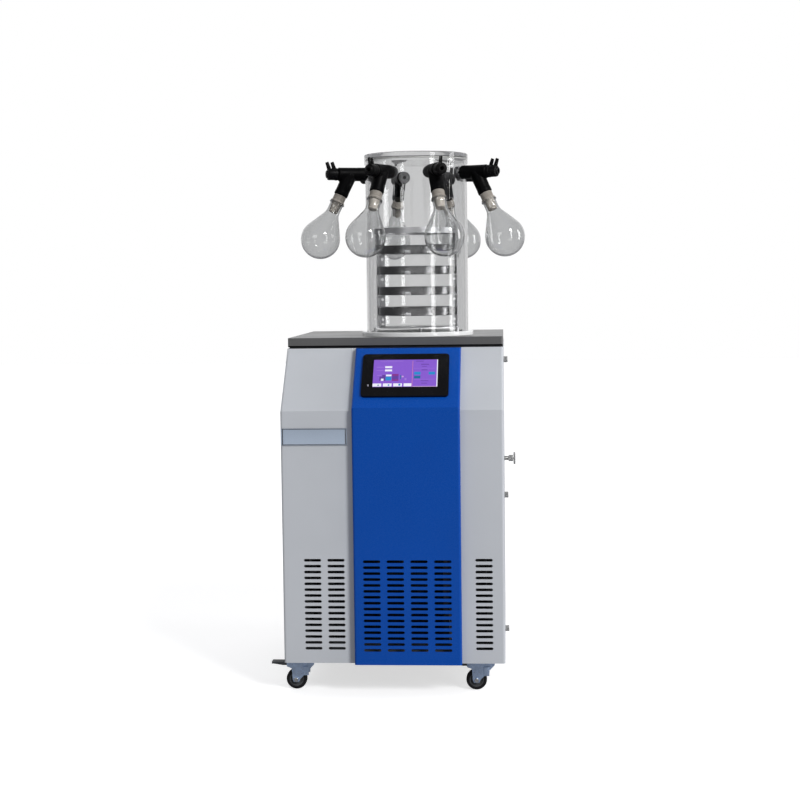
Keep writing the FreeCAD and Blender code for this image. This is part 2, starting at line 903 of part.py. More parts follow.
posts = [angle_post(side, corner, inward)
         for side in (-1, 1)
         for corner, inward in ((POST_FRONT, 1), (FRAME_BACK, -1))]
frame_holes = [
    cylinder((POST_FACE - size.angle_leg / 4, SCREW_BACK, size.screw_level + SCREW_PITCH * n),
             size.screw_shank + size.running_gap, size.angle_leg / 2, TO_RIGHT)
    for n in range(3)
]
frame_holes.append(cylinder((POST_FACE - size.angle_leg / 4, SCREW_BACK, DRAIN_LEVEL),
                            size.drain_stem + size.running_gap, size.angle_leg / 2, TO_RIGHT))
sub_part("inner_frame", cut(fuse(frame_ring(), *posts), *frame_holes))


# ---------------------------------------------------------------- display and nameplate

SLOPE_TURN = (X_AXIS, term(45))


def display_bezel():
    """The glossy surround, with a pocket for the screen.  Its Z = 0 is the panel's face."""
    half_wide = size.bezel_width / 2
    half_tall = size.bezel_height / 2
    outline = rectangle(-half_wide, -half_tall, half_wide, half_tall)
    body = extruded("DisplayBezel", "XY_Plane", outline, size.bezel_thick)
    round_edges(body, size.bezel_corner, upright_edges)
    recess = new_sketch(body, "XY_Plane", (ZERO, ZERO, size.bezel_thick))
    wide = size.screen_width / 2 + size.running_gap
    tall = size.screen_height / 2 + size.running_gap
    draw_outline(recess, rectangle(-wide, size.screen_lift - tall, wide, size.screen_lift + tall))
    pocket(body, recess, size.screen_thick * 2)
    return body


DISPLAY_SPOT = (size.panel_middle + size.bezel_shift, window_back, window_up)
sub_part("display_bezel", display_bezel(), DISPLAY_SPOT, SLOPE_TURN)

screen_outline = rectangle(-size.screen_width / 2, size.screen_lift - size.screen_height / 2,
                           size.screen_width / 2, size.screen_lift + size.screen_height / 2)
screen = extruded("DisplayScreen", "XY_Plane", screen_outline, size.screen_thick,
                  offset=(ZERO, ZERO, size.bezel_thick - size.screen_thick))
sub_part("display_screen", screen, DISPLAY_SPOT, SLOPE_TURN)

controller_outline = rectangle(-size.controller_width / 2, -size.controller_height / 2,
                               size.controller_width / 2, size.controller_height / 2)
controller = extruded("Controller", "XY_Plane", controller_outline, size.controller_deep, reverse=True)
round_edges(controller, size.bezel_corner / 2, upright_edges)
sub_part("controller", controller, DISPLAY_SPOT, SLOPE_TURN)


def nameplate():
    """A bare plate with rounded corners and a raised rim.  It is fixed by its back."""
    half_wide = size.plate_width / 2
    half_tall = size.plate_height / 2
    outline = rectangle(-half_wide, -half_tall, half_wide, half_tall)
    body = extruded("Nameplate", "XZ_Plane", outline, size.plate_thick)

    def corners(edge, limits):
        return edge.Length < size.plate_thick.value + 0.01

    round_edges(body, size.plate_corner, corners)
    rim = size.plate_rim
    field = new_sketch(body, "XZ_Plane", (ZERO, ZERO, size.plate_thick))
    draw_outline(field, rectangle(-half_wide + rim, -half_tall + rim, half_wide - rim, half_tall - rim))
    pocket(body, field, size.plate_thick * 2 / 3)
    return body


sub_part("nameplate", nameplate(), (size.plate_side - HALF_WIDTH, ZERO, BEND_LEVEL - size.plate_drop))


# ---------------------------------------------------------------- side screws and drain valve

def thumb_screw(level):
    head = cylinder((HALF_WIDTH, SCREW_BACK, level), size.screw_head, size.screw_head_long, TO_RIGHT)
    shank = cylinder((HALF_WIDTH - size.screw_long, SCREW_BACK, level),
                     size.screw_shank, size.screw_long + PAST, TO_RIGHT)
    return fuse(head, shank)


screws = [thumb_screw(size.screw_level + SCREW_PITCH * number) for number in range(3)]
sub_part("thumb_screws", group(*screws))


def drain_valve():
    """Stem through the cover and a cylindrical body, with a bore for the pipe and the handle pin."""
    inner = HALF_WIDTH - size.drain_stem_in
    stem = cylinder((inner, SCREW_BACK, DRAIN_LEVEL), size.drain_stem,
                    size.drain_stem_in + size.drain_stem_out, TO_RIGHT)
    housing = cylinder((HALF_WIDTH + size.drain_stem_out, SCREW_BACK, DRAIN_LEVEL),
                       size.drain_body, size.drain_body_long, TO_RIGHT)
    bore = cylinder((inner, SCREW_BACK, DRAIN_LEVEL), size.drain_way,
                    size.drain_stem_in, TO_RIGHT)
    pin_hole = cylinder(
        (HALF_WIDTH + size.drain_stem_out + size.drain_body_long / 4, SCREW_BACK, DRAIN_LEVEL),
        size.drain_bore + size.running_gap, size.drain_body_long, TO_RIGHT)
    return cut(fuse(stem, housing), bore, pin_hole)


def drain_handle():
    """A flat bar across the end of the valve, turning on its pin."""
    face = HALF_WIDTH + size.drain_stem_out + size.drain_body_long
    pin_start = HALF_WIDTH + size.drain_stem_out + size.drain_body_long / 4 + size.moving_gap
    pin = cylinder((pin_start, SCREW_BACK, DRAIN_LEVEL), size.drain_bore,
                   face - pin_start + size.handle_thick / 2, TO_RIGHT)
    bar = box((face + size.moving_gap, SCREW_BACK - size.handle_wide / 2,
               DRAIN_LEVEL - size.handle_tall / 2),
              size.handle_thick, size.handle_wide, size.handle_tall)
    return fuse(pin, bar)


sub_part("drain_valve", drain_valve())
sub_part("drain_handle", drain_handle())


# ---------------------------------------------------------------- chamber

def chamber_spot(level=ZERO):
    return (*CHAMBER_AXIS, level)


BASE_LEVEL = WORKTOP_TOP + size.gasket_thick
LID_BOTTOM = WORKTOP_TOP + size.chamber_height - size.lid_thick
TUBE_TOP = LID_BOTTOM - size.gasket_thick


def ring_outline(inner, outer, low, high):
    return ((inner, low), (outer, low), (outer, high), (inner, high))


base_gasket = turned("BaseGasket", ring_outline(
    TUBE_INNER, size.tube_radius - size.moving_gap, WORKTOP_TOP, BASE_LEVEL))
lid_gasket = turned("LidGasket", ring_outline(
    TUBE_INNER, size.tube_radius - size.moving_gap, TUBE_TOP, LID_BOTTOM))
sub_part("chamber_gaskets", group(base_gasket, lid_gasket), chamber_spot())

base_ring = turned("BaseRing", ring_outline(
    size.tube_radius + size.running_gap, BASE_RING_RADIUS,
    WORKTOP_TOP, WORKTOP_TOP + size.base_ring_thick))
round_edges(base_ring, size.base_ring_thick / 5,
            lambda edge, limits: lies_at(edge, "z", limits.ZMax) and edge.Length > 6.2832 * (
                BASE_RING_RADIUS.value - 1))
sub_part("base_ring", base_ring, chamber_spot())

tube_outline = (
    (TUBE_INNER, BASE_LEVEL),
    (size.tube_radius, BASE_LEVEL),
    (size.tube_radius, TUBE_TOP - size.collar_thick),
    (LID_RADIUS, TUBE_TOP - size.collar_thick),
    (LID_RADIUS, TUBE_TOP),
    (TUBE_INNER, TUBE_TOP),
)


def port_turn(step):
    """Turn about the chamber's axis for a port, counted in steps from the front."""
    return (Z_AXIS, size.port_step * step + size.chamber_turn)


tube_holes = []
port_drill = cylinder(CENTRE, size.nipple_radius + size.hole_gap, size.tube_radius + size.tube_wall, TO_FRONT)
for step in PORT_STEPS:
    tube_holes.append(copy_of(port_drill, (ZERO, ZERO, PORT_LEVEL), port_turn(step)))
tube = turned("ChamberTube", tube_outline)
sub_part("chamber_tube", cut(tube, *tube_holes), chamber_spot())

spigot = TUBE_INNER - size.moving_gap
chamber_lid = turned("ChamberLid", (
    (ZERO, LID_BOTTOM - size.spigot_deep),
    (spigot, LID_BOTTOM - size.spigot_deep),
    (spigot, LID_BOTTOM),
    (LID_RADIUS, LID_BOTTOM),
    (LID_RADIUS, LID_BOTTOM + size.lid_thick),
    (ZERO, LID_BOTTOM + size.lid_thick),
))
round_edges(chamber_lid, size.lid_thick / 5, lambda edge, limits: lies_at(edge, "z", limits.ZMax))
sub_part("chamber_lid", chamber_lid, chamber_spot())


# ---------------------------------------------------------------- ports, valves, adapters, flasks
# Each form is drawn for a port that faces the front, about the chamber's axis at port level.
# outward(r) is a spot r out from that axis.

def outward(reach, up=ZERO):
    return (ZERO, -term(reach), up)


def ring_of(form, steps):
    """Copies of a form at several ports, about the chamber's axis."""
    return [copy_of(form, CENTRE, port_turn(step)) for step in steps]


NUT_FACE = root(TUBE_INNER * TUBE_INNER - size.port_nut * size.port_nut) - size.running_gap
BARREL_START = size.tube_radius + size.moving_gap
BARREL_END = size.tube_radius + size.barrel_reach
LEG_TOP = size.tube_radius + size.leg_out
NIPPLE_END = size.tube_radius + size.nipple_long

nut = cylinder(outward(NUT_FACE - size.port_nut_long), size.port_nut, size.port_nut_long, TO_FRONT)
nipple = cylinder(outward(NUT_FACE - size.port_nut_long), SHAFT_RADIUS,
                  NIPPLE_END - NUT_FACE + size.port_nut_long, TO_FRONT)
nipple_bore = cylinder(outward(NUT_FACE - size.port_nut_long * 2), size.port_bore,
                       size.nipple_long * 3, TO_FRONT)
port_fitting = cut(fuse(nut, nipple), nipple_bore)
sub_part("port_fittings", group(*ring_of(port_fitting, PORT_STEPS)), chamber_spot(PORT_LEVEL))

plug_outline = (
    (ZERO, ZERO),
    (size.cap_radius, ZERO),
    (size.cap_radius, size.nipple_long + size.cap_long / 4),
    (ZERO, size.nipple_long + size.cap_long / 4),
)
plug_form = turned("PortPlug", plug_outline)
round_edges(plug_form, size.barrel_round, lambda edge, limits: edge.Length > 1)
place(plug_form, outward(BARREL_START), TO_FRONT)
plug_bore = cylinder(outward(BARREL_START - PAST), size.nipple_radius, size.nipple_long + PAST, TO_FRONT)
plug = cut(plug_form, plug_bore)
sub_part("port_plugs", group(*ring_of(plug, PLUG_STEPS)), chamber_spot(PORT_LEVEL))

LEG_TURN = (X_AXIS, 180 - size.leg_slant)


def rubber_valve():
    """A rubber barrel with a slanted leg, bored for the nipple, the knob and the adapter."""
    reach = BARREL_END - BARREL_START
    barrel = turned("ValveBarrel", (
        (ZERO, ZERO), (size.barrel_radius, ZERO), (size.barrel_radius, reach), (ZERO, reach)))
    round_edges(barrel, size.barrel_round, lambda edge, limits: edge.Length > 1)
    place(barrel, outward(BARREL_START), TO_FRONT)
    leg = cone(outward(LEG_TOP), size.leg_radius, size.leg_end_radius, size.leg_long, LEG_TURN)
    socket_end = size.nipple_long + size.moving_gap
    nipple_socket = cylinder(outward(BARREL_START - PAST), size.nipple_radius, socket_end + PAST, TO_FRONT)
    knob_socket = cylinder(outward(BARREL_END - size.knob_shaft_long - size.moving_gap),
                           size.nipple_radius, size.knob_shaft_long * 2, TO_FRONT)
    passage = cylinder(outward(BARREL_START), size.port_bore,
                       LEG_TOP - BARREL_START + size.port_bore, TO_FRONT)
    leg_passage = cylinder(outward(LEG_TOP), size.port_bore, size.leg_long + PAST, LEG_TURN)
    stem_deep = size.adapter_stem_long + size.moving_gap
    stem_back = size.leg_long - stem_deep
    stem_socket = cylinder(
        outward(LEG_TOP + stem_back * sine(size.leg_slant), -(stem_back * cosine(size.leg_slant))),
        size.adapter_stem + size.running_gap, stem_deep + PAST, LEG_TURN)
    return cut(fuse(barrel, leg), nipple_socket, knob_socket, passage, leg_passage, stem_socket)


valve_form = rubber_valve()
sub_part("valve_bodies", group(*ring_of(valve_form, VALVE_STEPS)), chamber_spot(PORT_LEVEL))

KNOB_START = BARREL_END + size.moving_gap


def knob_tab(reach):
    """A thin upright ear on the knob, set along the barrel and leaning outward."""
    foot = size.knob_radius / 2
    return box((-size.tab_thick / 2, -reach - size.tab_wide / 2, foot),
               size.tab_thick, size.tab_wide, size.tab_reach - foot, (X_AXIS, size.tab_lean))


def knob_form():
    """A turning knob: shaft in the barrel, cap, two ears and an open nozzle."""
    shaft = cylinder(outward(BARREL_END - size.knob_shaft_long), SHAFT_RADIUS,
                     size.knob_shaft_long + PAST, TO_FRONT)
    cap = cylinder(outward(KNOB_START), size.knob_radius, size.knob_long, TO_FRONT)
    nozzle = cylinder(outward(KNOB_START + size.knob_long - PAST), size.nozzle_radius,
                      size.nozzle_long + PAST, TO_FRONT)
    middle = KNOB_START + size.knob_long / 2
    tabs = [knob_tab(middle + size.tab_spread / 2 * way) for way in (-1, 1)]
    bore = cylinder(outward(middle), size.nozzle_bore,
                    size.knob_long / 2 + size.nozzle_long + PAST, TO_FRONT)
    return cut(fuse(shaft, cap, nozzle, *tabs), bore)


knob = knob_form()
for number, step in enumerate(VALVE_STEPS, start=1):
    turn = copy_of(knob, CENTRE, port_turn(step))
    sub_part(f"valve_knob_{number}", group(turn), chamber_spot(PORT_LEVEL))


def along_leg(form):
    """Stand a turned form on the leg's axis, its Z = 0 on the barrel's axis."""
    return place(form, outward(LEG_TOP), LEG_TURN)


STEM_START = size.leg_long - size.adapter_stem_long
COLLAR_START = size.leg_long + size.moving_gap
adapter_form = along_leg(turned("FlaskAdapter", (
    (size.port_bore, STEM_START),
    (size.adapter_stem, STEM_START),
    (size.adapter_stem, COLLAR_START),
    (size.collar_radius, COLLAR_START),
    (size.collar_radius, size.collar_end),
    (size.adapter_lip, size.collar_end),
    (size.adapter_lip, size.adapter_lip_end),
    (size.taper_radius, size.adapter_lip_end),
    (size.taper_end_radius, size.taper_end),
    (size.port_bore, size.taper_end),
)))
sub_part("flask_adapters", group(*ring_of(adapter_form, VALVE_STEPS)), chamber_spot(PORT_LEVEL))


def bulb_side(radius, neck):
    """Where the cone from the neck touches the bulb, as (radius, distance along the axis)."""
    rise = size.bulb_middle - size.neck_end
    distance = root(rise * rise + neck * neck)
    angle = arc_tangent(neck / rise) + arc_cosine(radius / distance)
    return radius * sine(angle), size.bulb_middle - radius * cosine(angle)


def flask():
    """A pear-shaped flask of even wall, open at its lip."""
    start = size.adapter_lip_end + size.moving_gap
    wall = size.glass
    inner_neck = size.flask_neck - wall
    inner_bulb = size.bulb_radius - wall
    outer_side = bulb_side(size.bulb_radius, size.flask_neck)
    inner_side = bulb_side(inner_bulb, inner_neck)
    return turned("Flask", (
        (inner_neck, start),
        (size.flask_lip, start),
        (size.flask_lip, start + size.flask_lip_thick),
        (size.flask_neck, start + size.flask_lip_thick),
        (size.flask_neck, size.neck_end),
        (*outer_side, size.bulb_radius),
        (ZERO, size.bulb_middle + size.bulb_radius),
        (ZERO, size.bulb_middle + inner_bulb, -inner_bulb),
        inner_side,
        (inner_neck, size.neck_end),
    ))


flask_form = along_leg(flask())
for number, step in enumerate(VALVE_STEPS, start=1):
    hung = copy_of(flask_form, CENTRE, port_turn(step))
    sub_part(f"flask_{number}", group(hung), chamber_spot(PORT_LEVEL))


# ---------------------------------------------------------------- cold trap

TRAP_OUTER = TRAP_RADIUS + size.trap_wall
COIL_CIRCLE = TRAP_OUTER + size.coil_tube + size.moving_gap

TRAP_FLOOR_TOP = TRAP_FLOOR + size.trap_wall

# The floor with its drain spigot is a plate of its own, welded under the well's wall.
trap_floor = turned("TrapFloor", (
    (size.drain_pipe_bore, TRAP_FLOOR - size.spigot_long),
    (size.spigot_radius, TRAP_FLOOR - size.spigot_long),
    (size.spigot_radius, TRAP_FLOOR),
    (TRAP_OUTER, TRAP_FLOOR),
    (TRAP_OUTER, TRAP_FLOOR_TOP),
    (size.drain_pipe_bore, TRAP_FLOOR_TOP),
))
sub_part("trap_floor", trap_floor, chamber_spot())

trap_wall = turned("TrapWall", (
    (TRAP_OUTER, TRAP_FLOOR_TOP),
    (TRAP_OUTER, WORKTOP_TOP),
    (TRAP_FLANGE, WORKTOP_TOP),
    (TRAP_FLANGE, WORKTOP_TOP + size.trap_flange_thick),
    (TRAP_RADIUS, WORKTOP_TOP + size.trap_flange_thick),
    (TRAP_RADIUS, TRAP_FLOOR_TOP),
))
suction_hole = cylinder((ZERO, TRAP_OUTER - size.trap_wall * 3, VACUUM_LEVEL),
                        size.vacuum_radius + size.running_gap, size.trap_wall * 6, TO_BACK)
sub_part("cold_trap", cut(trap_wall, suction_hole), chamber_spot())

FOAM_INNER = COIL_CIRCLE + size.coil_tube + PAST
FOAM_RADIUS = FOAM_INNER + size.foam_thick
FOAM_FLOOR = TRAP_FLOOR - size.foam_floor
foam = turned("TrapInsulation", (
    (size.spigot_radius + size.hole_gap, FOAM_FLOOR),
    (FOAM_RADIUS, FOAM_FLOOR),
    (FOAM_RADIUS, size.worktop_level - size.moving_gap),
    (FOAM_INNER, size.worktop_level - size.moving_gap),
    (FOAM_INNER, TRAP_FLOOR - size.moving_gap),
    (size.spigot_radius + size.hole_gap, TRAP_FLOOR - size.moving_gap),
))
vacuum_tunnel = cylinder((ZERO, TRAP_OUTER, VACUUM_LEVEL), size.vacuum_radius + size.hole_gap,
                         FOAM_RADIUS, TO_BACK)
COIL_LOW = TRAP_FLOOR + size.coil_low
suction_tunnel = cylinder((-COIL_CIRCLE, ZERO, COIL_LOW), size.suction_radius + size.hole_gap,
                          FOAM_RADIUS, (Y_AXIS, term(-90)))
sub_part("trap_insulation", cut(foam, vacuum_tunnel, suction_tunnel), chamber_spot())


def coil_turn(level):
    return primitive("Torus", (ZERO, ZERO, level), None, Radius1=COIL_CIRCLE, Radius2=size.coil_tube)


# One turn is left out where the vacuum pipe leaves the trap.
PIPE_REACH = size.vacuum_radius + size.coil_tube + PAST
coil_levels = [COIL_LOW + size.coil_pitch * n for n in range(whole("coil_turns"))]
clear_levels = [level for level in coil_levels
                if abs(level.value - VACUUM_LEVEL.value) > PIPE_REACH.value]
coil_header = cylinder((-COIL_CIRCLE, ZERO, clear_levels[0]), size.coil_tube,
                       clear_levels[-1] - clear_levels[0])
sub_part("evaporator_coil", fuse(coil_header, *[coil_turn(level) for level in clear_levels]),
         chamber_spot())


# ---------------------------------------------------------------- trays and rack

def tray():
    """A plain round pan with a small finger tab low on its front."""
    radius = TRAY_RADIUS
    wall = size.tray_sheet
    pan = turned("Tray", (
        (ZERO, ZERO), (radius, ZERO), (radius, size.tray_tall),
        (radius - wall, size.tray_tall), (radius - wall, wall), (ZERO, wall)))
    turn = size.tray_tab_turn
    tab = box((-size.tray_tab / 2 - radius * sine(turn), -(radius * cosine(turn)) - wall, ZERO),
              size.tray_tab, wall * 3, size.tray_tall / 3)
    inside = cylinder((ZERO, ZERO, wall), radius - wall, size.tray_tall)
    return cut(fuse(pan, tab), inside)


for number in range(TRAYS):
    level = WORKTOP_TOP + size.tray_low + size.tray_pitch * number
    sub_part(f"tray_{number + 1}", tray(), chamber_spot(level))


def rack_strip(side):
    """One side of the rack: a strip beside the trays, folded inward behind them."""
    wall = size.rack_floor_thick
    face = TRAY_RADIUS + size.moving_gap
    low = WORKTOP_TOP + size.rack_floor
    tall = size.rack_cap_top - size.rack_floor - size.rack_cap_tall / 2
    left = face if side > 0 else -face - wall
    fold = size.rack_strip_fold
    fold_edge = face + wall - fold
    fold_left = fold_edge if side > 0 else -face - wall
    tray_back = root(TRAY_RADIUS * TRAY_RADIUS - fold_edge * fold_edge)
    back = tray_back + size.rack_strip_gap + wall
    web = box((left, -size.rack_strip_front, low), wall, size.rack_strip_front + back, tall)
    folded = box((fold_left, back - wall, low), fold, wall, tall)
    ledge_left = face - size.rack_ledge if side > 0 else -face
    ledges = [box((ledge_left, -size.rack_strip_front,
                   WORKTOP_TOP + size.tray_low + size.tray_pitch * number - wall),
                  size.rack_ledge, size.rack_strip_front * 2, wall) for number in range(TRAYS)]
    hole_across = (face + wall - fold / 2) if side > 0 else (-face - wall + fold / 2)
    holes = [cylinder((hole_across, back - wall * 2,
                       WORKTOP_TOP + size.tray_low + size.tray_pitch * number - size.rack_hole_drop),
                      size.rack_hole, wall * 4, TO_BACK) for number in range(TRAYS)]
    holes.append(cylinder((hole_across, back - wall * 2,
                           WORKTOP_TOP + size.rack_floor + size.rack_hole * 2),
                          size.rack_small_hole, wall * 4, TO_BACK))
    return cut(fuse(web, folded, *ledges), *holes)


def tray_rack():
    """Floor disc on three pegs, two strips with ledges, and a rimmed disc on top."""
    wall = size.rack_floor_thick
    low = WORKTOP_TOP + size.rack_floor
    radius = TRAY_RADIUS + size.rack_overhang
    floor = turned("RackFloor", ring_outline(size.rack_floor_hole, radius, low, low + wall))
    top = WORKTOP_TOP + size.rack_cap_top
    cap = turned("RackCap", (
        (ZERO, top - wall), (radius - wall, top - wall), (radius - wall, top - size.rack_cap_tall),
        (radius, top - size.rack_cap_tall), (radius, top), (ZERO, top)))
    pegs = []
    peg_circle = TRAP_RADIUS + size.rack_peg_inset
    rest = WORKTOP_TOP + size.trap_flange_thick
    for third in range(3):
        peg = cylinder((ZERO, -peg_circle, rest), size.rack_peg, low + wall - rest)
        arm = box((-size.rack_peg, -peg_circle, low), size.rack_peg * 2,
                  peg_circle - radius + size.rack_peg_arm, wall)
        pegs.append(copy_of(fuse(peg, arm), CENTRE, (Z_AXIS, 120 * third + size.rack_peg_turn)))
    return fuse(floor, cap, rack_strip(-1), rack_strip(1), *pegs)


sub_part("tray_rack", tray_rack(), chamber_spot())


# ---------------------------------------------------------------- refrigeration

CONDENSER_LEFT = -size.condenser_left
CONDENSER_BACK = size.condenser_front + size.condenser_deep
FAN_ACROSS = CONDENSER_LEFT + size.condenser_width / 2
FAN_LEVEL = PAN_FLOOR + size.condenser_tall / 2


def condenser():
    """Rows of tubes through upright fins between two thicker end plates."""
    wide = size.condenser_width
    gap = (wide - size.fin_sheet) / (size.fin_count - 1)
    fins = [box((CONDENSER_LEFT + gap * number, size.condenser_front, PAN_FLOOR),
                size.fin_sheet, size.condenser_deep, size.condenser_tall)
            for number in range(whole("fin_count"))]
    spacing = size.condenser_tall / size.condenser_rows
    middle = size.condenser_front + size.condenser_deep / 2
    tubes = [cylinder((CONDENSER_LEFT, middle + size.condenser_tube_gap / 2 * way,
                       PAN_FLOOR + spacing * (number + 0.5)),
                      size.condenser_tube, wide, TO_RIGHT)
             for number in range(whole("condenser_rows")) for way in (-1, 1)]
    return fuse(*fins, *tubes)


sub_part("condenser", condenser())


def fan_shroud():
    """A shallow box behind the condenser with a round opening, and the motor on two arms."""
    deep = size.shroud_deep
    wall = size.sheet
    wide = size.condenser_width
    tall = size.condenser_tall
    shell = box((CONDENSER_LEFT, CONDENSER_BACK, PAN_FLOOR), wide, deep, tall)
    room = box((CONDENSER_LEFT + wall, CONDENSER_BACK - PAST, PAN_FLOOR + wall),
               wide - wall * 2, deep - wall + PAST, tall - wall * 2)
    opening = cylinder((FAN_ACROSS, CONDENSER_BACK, FAN_LEVEL), size.fan_opening, deep * 2, TO_BACK)
    back = CONDENSER_BACK + deep
    arms = [box((FAN_ACROSS - size.motor_arm / 2, back, PAN_FLOOR), size.motor_arm, wall * 2, tall),
            box((CONDENSER_LEFT, back, FAN_LEVEL - size.motor_arm / 2), wide, wall * 2, size.motor_arm)]
    motor = cylinder((FAN_ACROSS, back, FAN_LEVEL), size.motor_radius, size.motor_long, TO_BACK)
    shaft_hole = cylinder((FAN_ACROSS, back - PAST, FAN_LEVEL), size.fan_shaft + size.running_gap,
                          size.motor_long / 2, TO_BACK)
    return cut(fuse(cut(shell, room, opening), *arms, motor), shaft_hole)


sub_part("fan_shroud", fan_shroud())


def fan_rotor():
    """Hub, pitched blades and a shaft.  Drawn about Z, then laid on the fan's axis."""
    hub = cylinder((ZERO, ZERO, -size.fan_hub_long), size.fan_hub, size.fan_hub_long)
    shaft = cylinder((ZERO, ZERO, -size.fan_hub_long / 2), size.fan_shaft,
                     size.fan_hub_long / 2 + size.motor_long / 3)
    across = size.fan_blade_deep / 2 * cosine(size.fan_blade_pitch)
    lift = size.fan_blade_deep / 2 * sine(size.fan_blade_pitch)
    blade = box((size.fan_blade_root, -across, -size.fan_hub_long / 2 - lift - size.fan_blade_thick / 2),
                size.fan_radius - size.fan_blade_root, size.fan_blade_deep, size.fan_blade_thick,
                (X_AXIS, size.fan_blade_pitch))
    blades = [copy_of(blade, CENTRE, (Z_AXIS, 360 / size.fan_blades * number + size.fan_blade_turn))
              for number in range(whole("fan_blades"))]
    return fuse(hub, shaft, *blades)


sub_part("fan_rotor", fan_rotor(),
         (FAN_ACROSS, CONDENSER_BACK + size.shroud_deep - size.moving_gap * 2, FAN_LEVEL), TO_BACK)

CAN_LOW = PAN_FLOOR + size.foot_tall + size.foot_plate
can_round = size.compressor_round
can = turned("CompressorCan", (
    (ZERO, CAN_LOW),
    (size.compressor_radius, CAN_LOW),
    (size.compressor_radius, CAN_LOW + size.compressor_tall - can_round, can_round),
    (size.compressor_radius - can_round, CAN_LOW + size.compressor_tall),
    (ZERO, CAN_LOW + size.compressor_tall),
))
reach = size.foot_reach + size.foot_radius
foot_plate = box((-reach, -reach, CAN_LOW - size.foot_plate), reach * 2, reach * 2, size.foot_plate)
COMPRESSOR_ACROSS = size.chamber_right - FOAM_RADIUS - size.compressor_side
COMPRESSOR_BACK = BACK_FACE - size.compressor_rear
COMPRESSOR_SPOT = (COMPRESSOR_ACROSS, COMPRESSOR_BACK)
sub_part("compressor", fuse(can, foot_plate), (*COMPRESSOR_SPOT, ZERO))

feet = [cylinder((size.foot_reach * across, size.foot_reach * back, PAN_FLOOR),
                 size.foot_radius, size.foot_tall)
        for across in (-1, 1) for back in (-1, 1)]
sub_part("compressor_feet", group(*feet), (*COMPRESSOR_SPOT, ZERO))

SUCTION_START = CAN_LOW + size.compressor_tall + size.moving_gap
coil_side = size.chamber_right - COIL_CIRCLE - size.coil_tube - size.moving_gap
suction_pipe = pipe(
    ((COMPRESSOR_ACROSS, COMPRESSOR_BACK, SUCTION_START),
     (COMPRESSOR_ACROSS, COMPRESSOR_BACK, COIL_LOW),
     (COMPRESSOR_ACROSS, CHAMBER_BACK, COIL_LOW),
     (coil_side, CHAMBER_BACK, COIL_LOW)),
    size.suction_radius, size.suction_bend)
sub_part("suction_pipe", suction_pipe)


# ---------------------------------------------------------------- vacuum, drain and power

vacuum_start = CHAMBER_BACK + TRAP_RADIUS
vacuum_length = BACK_FACE - vacuum_start + size.vacuum_out
vacuum_tube = cylinder((size.chamber_right, vacuum_start, VACUUM_LEVEL), size.vacuum_radius,
                       vacuum_length, TO_BACK)
vacuum_lip = cylinder((size.chamber_right, BACK_FACE + size.vacuum_out - size.vacuum_flange_thick,
                       VACUUM_LEVEL), size.vacuum_flange, size.vacuum_flange_thick, TO_BACK)
vacuum_way = cylinder((size.chamber_right, vacuum_start - PAST, VACUUM_LEVEL), size.vacuum_bore,
                      vacuum_length + PAST * 2, TO_BACK)
sub_part("vacuum_pipe", cut(fuse(vacuum_tube, vacuum_lip), vacuum_way))

drain_end = HALF_WIDTH - size.drain_stem_in - size.moving_gap
drain_pipe = pipe(
    ((size.chamber_right, CHAMBER_BACK, TRAP_FLOOR - size.spigot_long - size.moving_gap),
     (size.chamber_right, CHAMBER_BACK, DRAIN_LEVEL),
     (size.chamber_right, SCREW_BACK, DRAIN_LEVEL),
     (drain_end, SCREW_BACK, DRAIN_LEVEL)),
    size.spigot_radius, size.drain_bend, size.drain_pipe_bore)
sub_part("drain_pipe", drain_pipe)

# The power inlet holds a socket below and a rocker switch above.
SOCKET_LEVEL = size.inlet_level - size.inlet_height / 4
ROCKER_LEVEL = size.inlet_level + size.inlet_height / 4
ROCKER_AXIS_BACK = BACK_FACE + size.inlet_flange_thick - size.rocker_deep / 3


def centred_box(across, level, back, width, height, deep):
    """A box about (across, level) that runs back from a plane."""
    return box((across - width / 2, back, level - height / 2), width, deep, height)


def power_inlet():
    flange = centred_box(-size.inlet_left, size.inlet_level, BACK_FACE,
                         size.inlet_width + size.inlet_flange * 2,
                         size.inlet_height + size.inlet_flange * 2, size.inlet_flange_thick)
    inner = centred_box(-size.inlet_left, size.inlet_level, BACK_FACE - size.inlet_deep,
                        size.inlet_width, size.inlet_height, size.inlet_deep)
    socket_back = BACK_FACE + size.inlet_flange_thick - size.socket_deep
    socket_room = centred_box(-size.inlet_left, SOCKET_LEVEL, socket_back,
                              size.socket_width, size.socket_height, size.socket_deep + PAST)
    rocker_back = BACK_FACE + size.inlet_flange_thick - size.rocker_deep - size.rocker_pin
    rocker_room = centred_box(-size.inlet_left, ROCKER_LEVEL, rocker_back,
                              size.rocker_width + size.moving_gap * 2,
                              size.rocker_height + size.rocker_swing * 2,
                              size.rocker_deep + size.rocker_pin + PAST)
    reach = size.rocker_width / 2 + size.rocker_pin_long + size.moving_gap
    pin_hole = cylinder((-size.inlet_left - reach, ROCKER_AXIS_BACK, ROCKER_LEVEL),
                        size.rocker_pin + size.running_gap, reach * 2, TO_RIGHT)
    housing = cut(fuse(flange, inner), socket_room, rocker_room, pin_hole)
    spread = size.contact_spread
    step = size.contact_step
    contacts = [centred_box(-size.inlet_left + across, SOCKET_LEVEL + up, socket_back - PAST,
                            size.contact_width, size.contact_height, size.contact_long + PAST)
                for across, up in ((-spread, -step), (ZERO, step), (spread, -step))]
    return fuse(housing, *contacts)


